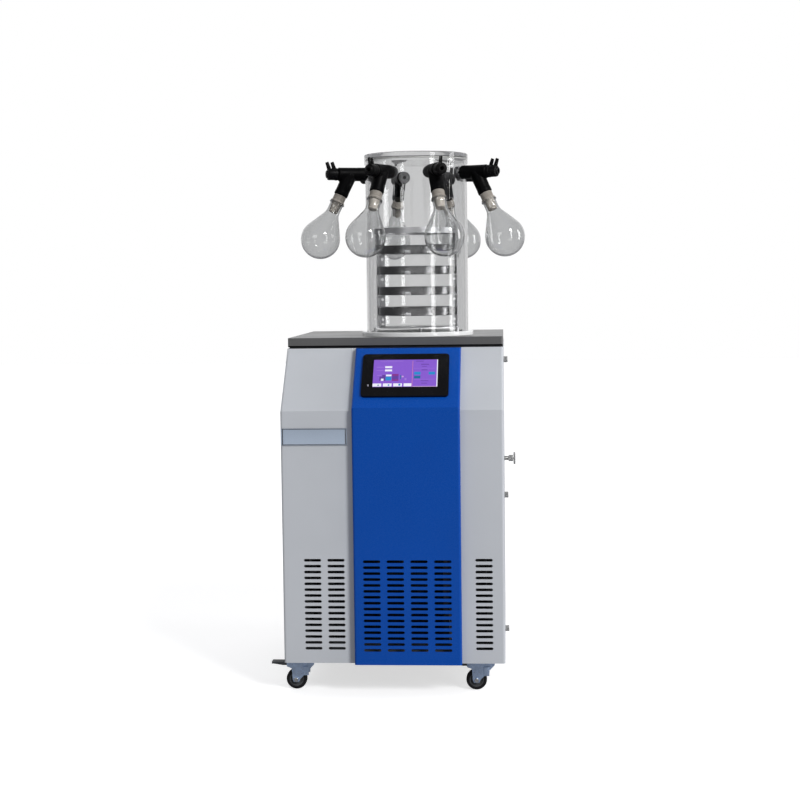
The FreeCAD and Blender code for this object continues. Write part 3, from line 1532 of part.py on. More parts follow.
def power_switch():
    """A rocker, level at rest, on a pin across the inlet."""
    block = centred_box(-size.inlet_left, ROCKER_LEVEL, ROCKER_AXIS_BACK - size.rocker_deep / 3,
                        size.rocker_width, size.rocker_height, size.rocker_deep)
    reach = size.rocker_width / 2 + size.rocker_pin_long
    pin = cylinder((-size.inlet_left - reach, ROCKER_AXIS_BACK, ROCKER_LEVEL),
                   size.rocker_pin, reach * 2, TO_RIGHT)
    return fuse(block, pin)


sub_part("power_inlet", power_inlet())
sub_part("power_switch", power_switch())


# ---------------------------------------------------------------- casters
# Each form is drawn about its own swivel axis at floor level, the wheel trailing to the left.

PLATE_LOW = size.skirt_level - size.caster_plate_thick
RACE_LOW = PLATE_LOW - size.race_tall
FORK_TOP = RACE_LOW - size.moving_gap
FORK_UNDER = FORK_TOP - size.fork_top
AXLE_LEVEL = size.wheel_radius
PEDAL_LEVEL = FORK_UNDER - size.pedal_drop


def caster_mount():
    """Top plate, ball race and king pin with its head under the fork."""
    half = size.caster_plate / 2
    plate = box((-half, -half, PLATE_LOW), size.caster_plate, size.caster_plate, size.caster_plate_thick)
    race = cylinder((ZERO, ZERO, RACE_LOW), size.race_radius, size.race_tall + PAST)
    head_low = FORK_UNDER - size.moving_gap - size.king_head_tall
    pin = cylinder((ZERO, ZERO, head_low), size.king_pin, PLATE_LOW - head_low)
    head = cylinder((ZERO, ZERO, head_low), size.king_head, size.king_head_tall)
    return fuse(plate, race, pin, head)


def caster_fork():
    """Two pressed cheeks under a round top, with the axle and the pedal's pin across them."""
    trail = -size.caster_trail
    lobe = size.fork_lobe
    cheek_outline = (
        (trail - size.fork_eye, AXLE_LEVEL),
        (trail - size.fork_eye * SLOPE, AXLE_LEVEL - size.fork_eye * SLOPE),
        (trail + size.fork_eye * SLOPE, AXLE_LEVEL - size.fork_eye * SLOPE),
        (trail + size.fork_eye, AXLE_LEVEL),
        (size.fork_nose, FORK_UNDER - lobe),
        (size.fork_nose, FORK_TOP),
        (-size.fork_heel, FORK_TOP),
        (-size.pedal_pivot - lobe, FORK_UNDER - PAST),
        (-size.pedal_pivot - lobe, PEDAL_LEVEL - lobe),
        (trail - size.fork_eye - size.fork_sheet, PEDAL_LEVEL - lobe * 2),
    )
    cheeks = []
    for side in (-1, 1):
        face = -size.fork_half if side < 0 else size.fork_half - size.fork_sheet
        cheeks.append(extruded("ForkCheek", "XZ_Plane", cheek_outline, size.fork_sheet,
                               offset=(ZERO, ZERO, face)))
    crown = box((-size.fork_heel, -size.fork_half, FORK_UNDER),
                size.fork_nose + size.fork_heel, size.fork_half * 2, size.fork_top)
    disc = cylinder((ZERO, ZERO, FORK_UNDER), size.race_radius + size.fork_top, size.fork_top)
    axle_reach = size.fork_half + size.axle_head_thick
    axle = cylinder((trail, -axle_reach, AXLE_LEVEL), size.axle_radius, axle_reach * 2, TO_BACK)
    heads = [cylinder((trail, -axle_reach if side < 0 else size.fork_half, AXLE_LEVEL),
                      size.axle_head, size.axle_head_thick, TO_BACK) for side in (-1, 1)]
    pedal_pin = cylinder((-size.pedal_pivot, -size.fork_half, PEDAL_LEVEL),
                         size.pedal_pin, size.fork_half * 2, TO_BACK)
    king_hole = cylinder((ZERO, ZERO, FORK_UNDER - PAST), size.king_pin + size.running_gap,
                         size.fork_top + PAST * 2)
    return cut(fuse(*cheeks, crown, disc, axle, *heads, pedal_pin), king_hole)


def caster_wheel():
    """A rubber-tyred wheel with recessed sides, turned about Z and laid on the axle."""
    bore = size.axle_radius + size.running_gap
    half = size.wheel_width / 2
    half_hub = size.hub_width / 2 - size.moving_gap
    radius = size.wheel_radius
    rim = radius - size.tyre_deep
    shoulder = radius - size.tyre_deep / 3
    web = half / 2
    return turned("CasterWheel", (
        (bore, -half_hub), (size.hub_radius, -half_hub), (size.hub_radius, -web),
        (rim, -web), (rim, -half), (shoulder, -half), (radius, -half * 0.7), (radius, half * 0.7),
        (shoulder, half), (rim, half), (rim, web), (size.hub_radius, web),
        (size.hub_radius, half_hub), (bore, half_hub),
    ))


def brake_pedal():
    """A boss on the fork's pin with a flat pedal that stands out past the wheel."""
    inside = size.fork_half - size.fork_sheet - size.moving_gap
    boss = cylinder((ZERO, -inside, ZERO), size.pedal_boss, inside * 2, TO_BACK)
    thick = size.pedal_thick
    tip = -size.pedal_long
    outline = (
        (ZERO, -thick / 2),
        (tip / 3, -thick / 2),
        (tip + thick, size.pedal_rise - thick),
        (tip, size.pedal_rise - thick),
        (tip, size.pedal_rise),
        (tip / 3, size.pedal_rise),
        (ZERO, thick / 2),
    )
    blade = extruded("PedalBlade", "XZ_Plane", outline, inside * 2, offset=(ZERO, ZERO, -inside))
    hole = cylinder((ZERO, -inside - PAST, ZERO), size.pedal_pin + size.running_gap,
                    (inside + PAST) * 2, TO_BACK)
    return cut(fuse(boss, blade), hole)


CASTER_ACROSS = HALF_WIDTH - size.caster_side
caster_spots = {}
for corner_name, across in (("left", -1), ("right", 1)):
    caster_spots[f"front_{corner_name}"] = (CASTER_ACROSS * across, size.caster_inset)
    caster_spots[f"rear_{corner_name}"] = (CASTER_ACROSS * across, BACK_FACE - size.caster_inset)

mount_form = caster_mount()
mounts = [copy_of(mount_form, (*spot, ZERO), None) for spot in caster_spots.values()]
sub_part("caster_mounts", group(*mounts))
for corner_name, (across, back) in caster_spots.items():
    sub_part(f"fork_{corner_name}", caster_fork(), (across, back, ZERO))
    sub_part(f"wheel_{corner_name}", caster_wheel(),
             (across - size.caster_trail, back, AXLE_LEVEL), TO_BACK)
    sub_part(f"pedal_{corner_name}", brake_pedal(),
             (across - size.pedal_pivot, back, PEDAL_LEVEL))


# ---------------------------------------------------------------- checks and export

doc.recompute()
for thing in doc.Objects:
    if "Invalid" in thing.State or "Error" in thing.State:
        raise RuntimeError(f"{thing.Name} ({thing.Label}) did not build")

os.makedirs("parts", exist_ok=True)
for thing in sub_parts:
    shape = thing.Shape
    if shape.isNull() or not shape.isValid() or not shape.Solids:
        raise RuntimeError(f"{thing.Label} has no valid solid")
    shape.exportStep(os.path.join("parts", f"{thing.Label}.step"))

overall = FreeCAD.BoundBox()
for thing in sub_parts:
    overall.add(thing.Shape.optimalBoundingBox())
print(f"{len(sub_parts)} sub-parts, {overall}")
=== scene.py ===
"""The looks of a floor-standing laboratory freeze dryer, laid out as an add-on."""

import json
import math

import bmesh
import bpy
from bpy.props import FloatProperty, FloatVectorProperty, IntProperty, PointerProperty
from mathutils import Matrix, Vector


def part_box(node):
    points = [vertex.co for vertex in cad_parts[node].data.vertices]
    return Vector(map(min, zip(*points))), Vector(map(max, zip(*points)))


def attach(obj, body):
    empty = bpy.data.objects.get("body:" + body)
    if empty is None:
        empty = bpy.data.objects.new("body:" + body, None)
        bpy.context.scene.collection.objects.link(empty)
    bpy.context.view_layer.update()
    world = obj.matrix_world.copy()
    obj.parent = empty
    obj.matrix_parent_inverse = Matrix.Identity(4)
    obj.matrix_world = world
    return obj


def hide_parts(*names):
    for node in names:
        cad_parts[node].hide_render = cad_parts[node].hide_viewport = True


bl_info = {
    "name": "Freeze Dryer Looks",
    "version": (1, 0, 0),
    "blender": (4, 5, 0),
    "location": "View3D > Sidebar > Freeze Dryer",
    "description": "Finishes, small fittings and a studio for a laboratory freeze dryer",
    "category": "Object",
}

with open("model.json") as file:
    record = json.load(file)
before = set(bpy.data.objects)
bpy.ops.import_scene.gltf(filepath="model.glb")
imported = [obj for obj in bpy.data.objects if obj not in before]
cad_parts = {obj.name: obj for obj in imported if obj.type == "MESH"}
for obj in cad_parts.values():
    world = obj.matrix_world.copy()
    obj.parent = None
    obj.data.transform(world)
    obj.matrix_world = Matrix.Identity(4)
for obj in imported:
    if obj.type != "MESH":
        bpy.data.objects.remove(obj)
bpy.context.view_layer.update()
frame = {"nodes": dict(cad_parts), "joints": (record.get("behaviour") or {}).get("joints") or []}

CABINET = "cabinet"
CORNERS = ("front_left", "front_right", "rear_left", "rear_right")
VALVES = tuple(range(1, 7))
TRAYS = tuple(range(1, 5))


def middle_of(node):
    """The middle of a node's box."""
    low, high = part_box(node)
    return (low + high) / 2


def joint_named(name):
    return next(joint for joint in frame["joints"] if joint["name"] == name)


CHAMBER = middle_of("chamber_lid")
PORT_LEVEL = joint_named("knob_turn_1")["pos_m"][2]


# ---------------------------------------------------------------- sizes and colours

def length(description, default):
    return FloatProperty(description=description, default=default, min=0.0, unit="LENGTH",
                         subtype="DISTANCE", precision=4)


def angle(description, degrees):
    return FloatProperty(description=description, default=math.radians(degrees), unit="ROTATION",
                         subtype="ANGLE")


def colour(description, default):
    return FloatVectorProperty(description=description, default=default, size=3, min=0.0, max=1.0,
                               subtype="COLOR")


class ValveSizes(bpy.types.PropertyGroup):
    """Sizes of one flask valve, measured out from the chamber's axis."""

    barrel_start: length("Inner end of the rubber barrel", 0.1293)
    barrel_end: length("Outer end of the rubber barrel", 0.204)
    barrel_radius: length("Outside of the barrel", 0.017)
    leg_top: length("Where the leg's axis meets the barrel's axis", 0.171)
    leg_long: length("From the barrel's axis to the leg's end", 0.059)
    leg_radius: length("Outside of the leg at its end", 0.017)
    leg_bore: length("Hole that holds the flask adapter", 0.0101)
    leg_slant: angle("Lean of the leg from upright", 26)
    passage_wide: length("Bore round the nipple and round the knob's stem", 0.0091)
    passage_narrow: length("Bore between them", 0.005)
    nipple_depth: length("Depth of the bore round the nipple", 0.0262)
    knob_depth: length("Depth of the bore round the knob's stem", 0.0125)
    socket_depth: length("Depth of the bore round the adapter's stem", 0.0243)
    voxel: length("Cell size that blends the leg into the barrel", 0.0009)
    knob_radius: length("Outside of the turning knob", 0.0155)
    knob_long: length("Length of the knob without its nozzle", 0.026)
    nozzle_radius: length("Outside of the vent nozzle", 0.0095)
    nozzle_long: length("Length of the vent nozzle", 0.003)
    nozzle_bore: length("Radius of the hole in the nozzle", 0.0045)
    ear_reach: length("Tip of an ear from the knob's axis", 0.0315)
    ear_wide: length("Width of an ear along the barrel", 0.011)
    ear_thick: length("Thickness of an ear", 0.0035)
    ear_apart: length("Between the two ears' middles", 0.013)
    ear_lean: angle("Lean of the ears away from the chamber", 15)


class FlaskSizes(bpy.types.PropertyGroup):
    """Sizes of a flask and its adapter, measured down the slanted leg."""

    adapter_start: length("Where the adapter leaves the rubber leg", 0.0593)
    collar_radius: length("Outside of the adapter's collar", 0.0155)
    lip_start: length("Top of the adapter's wide lip", 0.075)
    lip_end: length("Underside of the adapter's wide lip", 0.0785)
    lip_radius: length("Outside of the wide lip", 0.018)
    taper_radius: length("Plug in the neck, at its top", 0.013)
    taper_end_radius: length("Plug in the neck, at its bottom", 0.011)
    taper_end: length("Bottom of the plug", 0.106)
    flask_start: length("Top of the glass lip", 0.0788)
    flask_lip: length("Outside of the glass lip", 0.0195)
    neck_radius: length("Outside of the glass neck", 0.0165)
    neck_end: length("Where the neck starts to widen", 0.108)
    bulb_radius: length("Outside of the bulb", 0.049)
    bulb_middle: length("Centre of the bulb", 0.18)
    glass: length("Wall of the flask", 0.0015)


class FittingSizes(bpy.types.PropertyGroup):
    """Sizes of the small fittings."""

    screw_radius: length("Outside of a knurled head", 0.0075)
    screw_long: length("Length of a knurled head", 0.01)
    knurls: IntProperty(description="Ridges round a knurled head", default=24, min=8)
    ring_screws: IntProperty(description="Screws in the base ring", default=6, min=3)
    ring_screw_circle: length("Circle that the ring screws lie on", 0.1365)
    ring_screw_radius: length("Head of a ring screw", 0.0022)
    tyre_radius: length("Outside of a caster's tyre", 0.025)
    tyre_width: length("Width of a caster's tyre", 0.02)
    hub_radius: length("Edge between the hub and the tyre", 0.018)


class FinishColours(bpy.types.PropertyGroup):
    """Base colours of the finishes."""

    grey_paint: colour("Side covers and back", (0.53, 0.552, 0.585))
    blue_paint: colour("Front panel", (0.0015, 0.066, 0.375))
    worktop: colour("Laminated worktop", (0.105, 0.105, 0.105))
    # partly painted shade: darkened for the inside of the cabinet seen through the vent slots
    frame_paint: colour("Base pan and inner frame", (0.09, 0.092, 0.096))
    black_gloss: colour("Display surround", (0.004, 0.004, 0.005))
    screen: colour("Lit field of the display", (0.225, 0.095, 0.58))
    black_plastic: colour("Knobs and small housings", (0.0025, 0.0025, 0.0028))
    pedal_plastic: colour("Brake pedals", (0.085, 0.09, 0.097))
    black_rubber: colour("Valves and plugs", (0.002, 0.002, 0.0023))
    beige_rubber: colour("Flask adapters", (0.335, 0.308, 0.275))
    clear_rubber: colour("Chamber seals", (0.42, 0.42, 0.41))
    steel: colour("Trays, rack and trap", (0.50, 0.50, 0.51))
    zinc: colour("Caster forks", (0.48, 0.60, 0.80))
    nickel: colour("Screws and drain valve", (0.50, 0.50, 0.49))
    plate: colour("Nameplate", (0.39, 0.46, 0.56))
    copper: colour("Refrigerant pipes", (0.60, 0.27, 0.15))
    # partly painted shade: the glass and acrylic tints are deepened to darken what is seen through them
    glass: colour("Flasks", (0.86, 0.865, 0.865))
    acrylic: colour("Chamber tube and lid", (0.955, 0.958, 0.958))
    tyre: colour("Caster tyres", (0.016, 0.016, 0.017))
    hub: colour("Caster hubs", (0.075, 0.078, 0.082))


class StageSettings(bpy.types.PropertyGroup):
    """Camera, lights and floor."""

    floor: length("Width of the floor", 30.0)
    eye: FloatVectorProperty(description="Where the camera stands", default=(0.2645, -4.052, 0.989),
                             subtype="TRANSLATION", unit="LENGTH")
    lens: FloatProperty(description="Focal length in millimetres", default=71.2, min=10.0, unit="CAMERA")
    turn: angle("Camera's turn to the left", 3.88)
    tip: angle("Camera's tip down", 4.314)
    roll: angle("Camera's roll", 0.703)


# ---------------------------------------------------------------- finishes

def new_finish(name):
    """A node material with its shader."""
    material = bpy.data.materials.new(name)
    material.use_nodes = True
    shader = material.node_tree.nodes["Principled BSDF"]
    return material, shader


def add_node(holder, kind, **settings):
    node = holder.node_tree.nodes.new(kind)
    for setting, value in settings.items():
        setattr(node, setting, value)
    return node


def link(holder, source, target):
    holder.node_tree.links.new(source, target)


def adjust(node, settings):
    """Set a node's inputs by their names."""
    for name, value in settings.items():
        node.inputs[name].default_value = value


def finish_with(holder, output, shader):
    """Link the last shader to the output of a material or a world."""
    link(holder, shader, holder.node_tree.nodes[output].inputs["Surface"])


def ray_is(holder, kind):
    """One for rays of a kind, such as camera rays, and nought for all others."""
    return add_node(holder, "ShaderNodeLightPath").outputs[f"Is {kind} Ray"]


def either(holder, factor, first, last):
    """One shader where the factor is nought, and another where it is one."""
    choice = add_node(holder, "ShaderNodeMixShader")
    link(holder, factor, choice.inputs["Fac"])
    link(holder, first, choice.inputs[1])
    link(holder, last, choice.inputs[2])
    return choice.outputs["Shader"]


def place_on_piece(material, scale=(1.0, 1.0, 1.0)):
    """Object coordinates in metres, scaled."""
    coordinates = add_node(material, "ShaderNodeTexCoord")
    mapping = add_node(material, "ShaderNodeMapping")
    mapping.inputs["Scale"].default_value = scale
    link(material, coordinates.outputs["Object"], mapping.inputs["Vector"])
    return mapping.outputs["Vector"]


def noise(material, vector, scale, detail, roughness=0.55):
    texture = add_node(material, "ShaderNodeTexNoise")
    adjust(texture, {"Scale": scale, "Detail": detail, "Roughness": roughness})
    link(material, vector, texture.inputs["Vector"])
    return texture.outputs["Fac"]


def between(holder, factor, first, last, start=0.3, end=0.7):
    """A colour ramp between two colours, by default round the middle of a noise."""
    ramp = add_node(holder, "ShaderNodeValToRGB")
    for element, position, tint in zip(ramp.color_ramp.elements, (start, end), (first, last)):
        element.position = position
        element.color = (*tint, 1.0)
    link(holder, factor, ramp.inputs["Fac"])
    return ramp.outputs["Color"]


def shade(tint, share):
    return tuple(min(1.0, part * share) for part in tint)


def tone(material, shader, factor, tint, dark, pale, channel="Base Color"):
    """Let a colour drift between two shares of a tint."""
    link(material, between(material, factor, shade(tint, dark), shade(tint, pale)), shader.inputs[channel])


def vary_gloss(material, shader, factor, low, high):
    """Let the roughness follow a noise between two values."""
    span = add_node(material, "ShaderNodeMapRange")
    adjust(span, {"From Min": 0.3, "From Max": 0.7, "To Min": low, "To Max": high})
    link(material, factor, span.inputs["Value"])
    link(material, span.outputs["Result"], shader.inputs["Roughness"])


def roughen(material, shader, height, strength, distance):
    """Bump the surface by a height texture."""
    bump = add_node(material, "ShaderNodeBump")
    adjust(bump, {"Strength": strength, "Distance": distance})
    link(material, height, bump.inputs["Height"])
    link(material, bump.outputs["Normal"], shader.inputs["Normal"])


def grained(name, tint, broad, fine, shares, gloss, bump, metallic=0.0, shine=0.5):
    """A colour that drifts with a broad noise, and gloss and bump that follow a fine one."""
    material, shader = new_finish(name)
    vector = place_on_piece(material)
    grain = noise(material, vector, *fine)
    adjust(shader, {"Metallic": metallic, "Specular IOR Level": shine})
    tone(material, shader, noise(material, vector, *broad), tint, *shares)
    vary_gloss(material, shader, grain, *gloss)
    roughen(material, shader, grain, *bump)
    return material


def powder_coat(name, tint, gloss=0.34, shine=0.35):
    """Baked paint: faint orange peel and a slow drift of tone."""
    return grained(name, tint, (5.0, 2.0), (900.0, 2.0), (0.97, 1.03), (gloss - 0.04, gloss + 0.06),
                   (0.06, 0.0004), shine=shine)


def moulded(name, tint, gloss=0.45, grain=1400.0, depth=0.12):
    """Moulded plastic with a fine spark-eroded grain."""
    return grained(name, tint, (30.0, 3.0), (grain, 3.0), (0.85, 1.2), (gloss - 0.06, gloss + 0.08),
                   (depth, 0.0003), shine=0.1)


def plated(name, tint, gloss=0.3):
    """Bright plating with a cloudy tone and small dull spots."""
    return grained(name, tint, (45.0, 5.0, 0.65), (260.0, 2.0), (0.75, 1.2), (gloss - 0.07, gloss + 0.14),
                   (0.08, 0.0003), metallic=0.9)


def laminate(name, tint):
    """A pressed laminate: fine speckle under a satin face."""
    material, shader = new_finish(name)
    vector = place_on_piece(material)
    speckle = noise(material, vector, 700.0, 4.0, 0.7)
    adjust(shader, {"Specular IOR Level": 0.45})
    tone(material, shader, speckle, tint, 0.86, 1.14)
    vary_gloss(material, shader, noise(material, vector, 9.0, 3.0), 0.30, 0.40)
    roughen(material, shader, speckle, 0.05, 0.0003)
    return material


def glossy(name, tint):
    """A polished black face with a few faint smears."""
    material, shader = new_finish(name)
    smear = noise(material, place_on_piece(material), 22.0, 4.0)
    adjust(shader, {"Specular IOR Level": 0.18})
    tone(material, shader, smear, tint, 0.8, 1.25)
    vary_gloss(material, shader, smear, 0.10, 0.22)
    return material


def rubber(name, tint, gloss=0.5, depth=0.2):
    """Soft rubber: a dusty mottle over a fine skin."""
    material, shader = new_finish(name)
    vector = place_on_piece(material)
    mottle = noise(material, vector, 60.0, 5.0)
    adjust(shader, {"Specular IOR Level": 0.05})
    tone(material, shader, mottle, tint, 0.84, 1.16)
    vary_gloss(material, shader, mottle, gloss - 0.08, gloss + 0.1)
    roughen(material, shader, noise(material, vector, 1100.0, 3.0), depth, 0.0004)
    return material


def brushed(name, tint, gloss, depth):
    """Metal with fine upright brush lines."""
    material, shader = new_finish(name)
    lines = noise(material, place_on_piece(material, (1.0, 1.0, 60.0)), 40.0, 4.0, 0.7)
    adjust(shader, {"Metallic": 1.0})
    tone(material, shader, noise(material, place_on_piece(material), 14.0, 3.0), tint, 0.88, 1.1)
    vary_gloss(material, shader, lines, gloss - 0.05, gloss + 0.09)
    roughen(material, shader, lines, depth, 0.0002)
    return material


def clear(name, tint, bend, waviness, wave_scale=(1.0, 1.0, 1.0), body=0.0):
    """Clear glass or acrylic with a slight waviness, milky by the share of its body.

    Light that falls through it goes straight on, so what stands inside is lit.
    """
    material, shader = new_finish(name)
    wave = noise(material, place_on_piece(material, wave_scale), 18.0, 2.0)
    adjust(shader, {"Transmission Weight": 1.0 - body, "IOR": bend, "Roughness": 0.0})
    tone(material, shader, wave, tint, 0.985, 1.0)
    roughen(material, shader, wave, waviness, 0.002)
    through = add_node(material, "ShaderNodeBsdfTransparent")
    adjust(through, {"Color": (*shade(tint, 0.92 - body * 0.5), 1.0)})
    seen = either(material, ray_is(material, "Shadow"), shader.outputs["BSDF"], through.outputs["BSDF"])
    finish_with(material, "Material Output", seen)
    return material


def lit(name, tint):
    """A lit part of the display, with the faint grid of its cells."""
    material, shader = new_finish(name)
    cells = noise(material, place_on_piece(material), 2600.0, 1.0)
    tone(material, shader, cells, tint, 0.06, 0.10)
    tone(material, shader, cells, tint, 0.93, 1.05, "Emission Color")
    adjust(shader, {"Emission Strength": 1.0, "Roughness": 0.25})
    return material


def cellular(name, tint):
    """Closed-cell foam."""
    material, shader = new_finish(name)
    texture = add_node(material, "ShaderNodeTexVoronoi")
    adjust(texture, {"Scale": 700.0})
    link(material, place_on_piece(material), texture.inputs["Vector"])
    cells = texture.outputs["Distance"]
    tone(material, shader, cells, tint, 0.6, 1.3)
    adjust(shader, {"Roughness": 0.9})
    roughen(material, shader, cells, 0.5, 0.0008)
    return material


def finned(name, tint, spacing):
    """Thin aluminium with the faint ripple of its fins."""
    material, shader = new_finish(name)
    texture = add_node(material, "ShaderNodeTexWave", bands_direction="X")
    adjust(texture, {"Scale": math.pi * 2 / spacing / 20, "Distortion": 0.4})
    link(material, place_on_piece(material), texture.inputs["Vector"])
    wave = texture.outputs["Fac"]
    adjust(shader, {"Metallic": 1.0})
    tone(material, shader, wave, tint, 0.7, 1.1)
    vary_gloss(material, shader, wave, 0.3, 0.5)
    roughen(material, shader, wave, 0.3, 0.0005)
    return material


FINISHES = {}


def coat(piece, *names):
    """Give a piece or a CAD node its finishes, one per slot."""
    piece.data.materials.clear()
    for name in names:
        piece.data.materials.append(FINISHES[name])
    return piece


# ---------------------------------------------------------------- modelling by hand

def rest_hands():
    """Leave edit mode and select nothing."""
    if bpy.context.object and bpy.context.object.mode != "OBJECT":
        bpy.ops.object.mode_set(mode="OBJECT")
    bpy.ops.object.select_all(action="DESELECT")


def take(*pieces):
    """Select these pieces only, the last one active."""
    rest_hands()
    for piece in pieces:
        piece.select_set(True)
    bpy.context.view_layer.objects.active = pieces[-1]


def open_mesh(everything=False):
    """Edit the active piece, with everything selected or as it was left."""
    bpy.ops.object.mode_set(mode="EDIT")
    if everything:
        bpy.ops.mesh.select_all(action="SELECT")


def close_mesh():
    bpy.ops.object.mode_set(mode="OBJECT")


def fresh(name):
    """Name the primitive just added."""
    piece = bpy.context.object
    piece.name = name
    piece.data.name = name
    return piece


def settle(piece):
    """Put a piece's place, turn and size into its mesh."""
    take(piece)
    bpy.ops.object.transform_apply(location=True, rotation=True, scale=True)
    return piece


def move(piece, matrix):
    """Move a piece as a whole and settle it."""
    piece.matrix_world = matrix @ piece.matrix_world
    return settle(piece)


def block(name, low, high):
    """A box between two corners."""
    rest_hands()
    low = Vector(low)
    high = Vector(high)
    bpy.ops.mesh.primitive_cube_add(size=1, location=(low + high) / 2)
    piece = fresh(name)
    piece.scale = high - low
    return settle(piece)


def disc(name, radius, depth, sides=32):
    """A round or many-sided prism that stands on Z = 0."""
    rest_hands()
    middle = (0, 0, depth / 2)
    bpy.ops.mesh.primitive_cylinder_add(vertices=sides, radius=radius, depth=depth, location=middle)
    return settle(fresh(name))


def apply_modifier(piece, kind, **settings):
    take(piece)
    bpy.ops.object.modifier_add(type=kind)
    modifier = piece.modifiers[-1]
    for setting, value in settings.items():
        setattr(modifier, setting, value)
    bpy.ops.object.modifier_apply(modifier=modifier.name)
    return piece


def ease_edges(piece, width, segments=2, over=35):
    """Round every edge sharper than an angle."""
    return apply_modifier(piece, "BEVEL", width=width, segments=segments, limit_method="ANGLE",
                          angle_limit=math.radians(over), use_clamp_overlap=True)


def smooth(piece, over=35):
    take(piece)
    bpy.ops.object.shade_smooth_by_angle(angle=math.radians(over))
    return piece


def turned(name, outline, steps=64):
    """Draw an outline of (radius, height) points and spin it about Z."""
    rest_hands()
    bpy.ops.mesh.primitive_plane_add(size=0.01)
    piece = fresh(name)
    open_mesh(everything=True)
    bpy.ops.mesh.select_mode(type="VERT")
    bpy.ops.mesh.merge(type="CENTER")
    points = [Vector((radius, 0, height)) for radius, height in outline]
    bpy.ops.transform.translate(value=points[0])
    for first, last in zip(points, points[1:]):
        bpy.ops.mesh.extrude_vertices_move(TRANSFORM_OT_translate={"value": last - first})
    bpy.ops.mesh.select_all(action="SELECT")
    bpy.ops.mesh.spin(steps=steps, angle=math.tau, center=(0, 0, 0), axis=(0, 0, 1))
    bpy.ops.mesh.select_all(action="SELECT")
    bpy.ops.mesh.remove_doubles(threshold=0.00001)
    bpy.ops.mesh.normals_make_consistent(inside=False)
    close_mesh()
    return piece


def mirrored(outline):
    """Close an outline with its own mirror image in the level Z = 0."""
    return [*outline, *((reach, -level) for reach, level in reversed(outline)), outline[0]]


def choose(piece, mode, wanted):
    """In edit mode, select the vertices, edges or faces that wanted() picks by their middle."""
    bpy.ops.mesh.select_mode(type=mode)
    bpy.ops.mesh.select_all(action="DESELECT")
    mesh = bmesh.from_edit_mesh(piece.data)
    if mode == "VERT":
        for vertex in mesh.verts:
            vertex.select = wanted(vertex.co, vertex.normal)
    elif mode == "EDGE":
        for edge in mesh.edges:
            edge.select = wanted((edge.verts[0].co + edge.verts[1].co) / 2, edge)
    else:
        for face in mesh.faces:
            face.select = wanted(face.calc_center_median(), face.normal)
    mesh.select_flush_mode()
    bmesh.update_edit_mesh(piece.data)


def bore(piece, tool):
    """Cut a tool out of a piece and put the tool away."""
    apply_modifier(piece, "BOOLEAN", operation="DIFFERENCE", solver="EXACT", object=tool)
    bpy.data.objects.remove(tool)
    return piece


def join(name, pieces):
    """Make one piece of several."""
    take(*pieces)
    bpy.ops.object.join()
    return fresh(name)


def copy_to(piece, name, matrix):
    """A copy with its own mesh, moved as a whole."""
    take(piece)
    bpy.ops.object.duplicate(linked=False)
    return move(fresh(name), matrix)


def put_away(piece):
    bpy.data.objects.remove(piece)


def seat(piece, body, slot, *nodes):
    """Tie a finished piece to its body and hide the nodes it stands for; its material slot is not used."""
    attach(piece, body)
    if nodes:
        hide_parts(*nodes)
    return piece


def port_matrix(number):
    """From a form that faces the front at the chamber's axis to a valve's own port."""
    out = Vector(joint_named(f"knob_turn_{number}")["axis"])
    heading = math.atan2(out.x, -out.y)
    return Matrix.Translation((CHAMBER.x, CHAMBER.y, PORT_LEVEL)) @ Matrix.Rotation(heading, 4, "Z")


def set_at_ports(*rows):
    """Copy forms to the six ports; a # in a name stands for the port's number.

    A row holds a form, then its piece's name, finish, body, slot and the node it stands for.
    """
    for number in VALVES:
        for form, *names in rows:
            name, finish, body, slot, node = (part.replace("#", str(number)) for part in names)
            seat(coat(copy_to(form, name, port_matrix(number)), finish), body, slot, node)
    for form, *names in rows:
        put_away(form)


def outward(reach):
    """A spot this far in front of the chamber's axis."""
    return Vector((0, -reach, 0))


def leg_matrix(sizes):
    """From a form that stands on Z = 0 to the slanted leg, its Z along the leg."""
    lean = math.pi - sizes.leg_slant
    return Matrix.Translation(outward(sizes.leg_top)) @ Matrix.Rotation(lean, 4, "X")


def placed(spot, facing):
    """Turned to face a way, then set at a spot."""
    return Matrix.Translation(spot) @ facing


FACING_FRONT = Matrix.Rotation(math.pi / 2, 4, "X")
FACING_BACK = Matrix.Rotation(-math.pi / 2, 4, "X")
FACING_RIGHT = Matrix.Rotation(math.pi / 2, 4, "Y")
FACING_DOWN = Matrix.Rotation(math.pi, 4, "X")


def knurled(name, radius, long, ridges):
    """A round head with ridges round its side, an eased rim and a dished end."""
    rise = radius * 0.08
    head = disc(name, radius, long, ridges * 2)
    open_mesh()
    choose(head, "FACE", lambda spot, normal: normal.z > 0.9)
    bpy.ops.mesh.inset(thickness=radius * 0.1)
    bpy.ops.transform.translate(value=(0, 0, rise))
    bpy.ops.mesh.inset(thickness=radius * 0.25)
    bpy.ops.transform.translate(value=(0, 0, -radius * 0.12))
    step = math.pi / ridges
    choose(head, "VERT", lambda spot, normal: math.hypot(spot.x, spot.y) > radius * 0.95
           and round(math.atan2(spot.y, spot.x) / step) % 2)
    bpy.ops.transform.resize(value=(0.93, 0.93, 1.0), center_override=(0, 0, 0))
    bpy.ops.mesh.select_all(action="SELECT")
    shrink = long / (long + rise)
    bpy.ops.transform.resize(value=(1.0, 1.0, shrink), center_override=(0, 0, 0))
    close_mesh()
    return head


def hexagon(name, radius, thick):
    """A six-sided bolt head or nut that stands on Z = 0, its corners eased by a washer face."""
    head = disc(name, radius, thick, 6)
    open_mesh()
    choose(head, "FACE", lambda spot, normal: normal.z > 0.9)
    bpy.ops.mesh.inset(thickness=radius * 0.12)
    bpy.ops.transform.translate(value=(0, 0, radius * 0.1))
    bpy.ops.mesh.inset(thickness=radius * 0.3)
    bpy.ops.transform.translate(value=(0, 0, -radius * 0.05))
    close_mesh()
    return smooth(ease_edges(head, radius * 0.05, 2, 20), 30)


# ---------------------------------------------------------------- operators

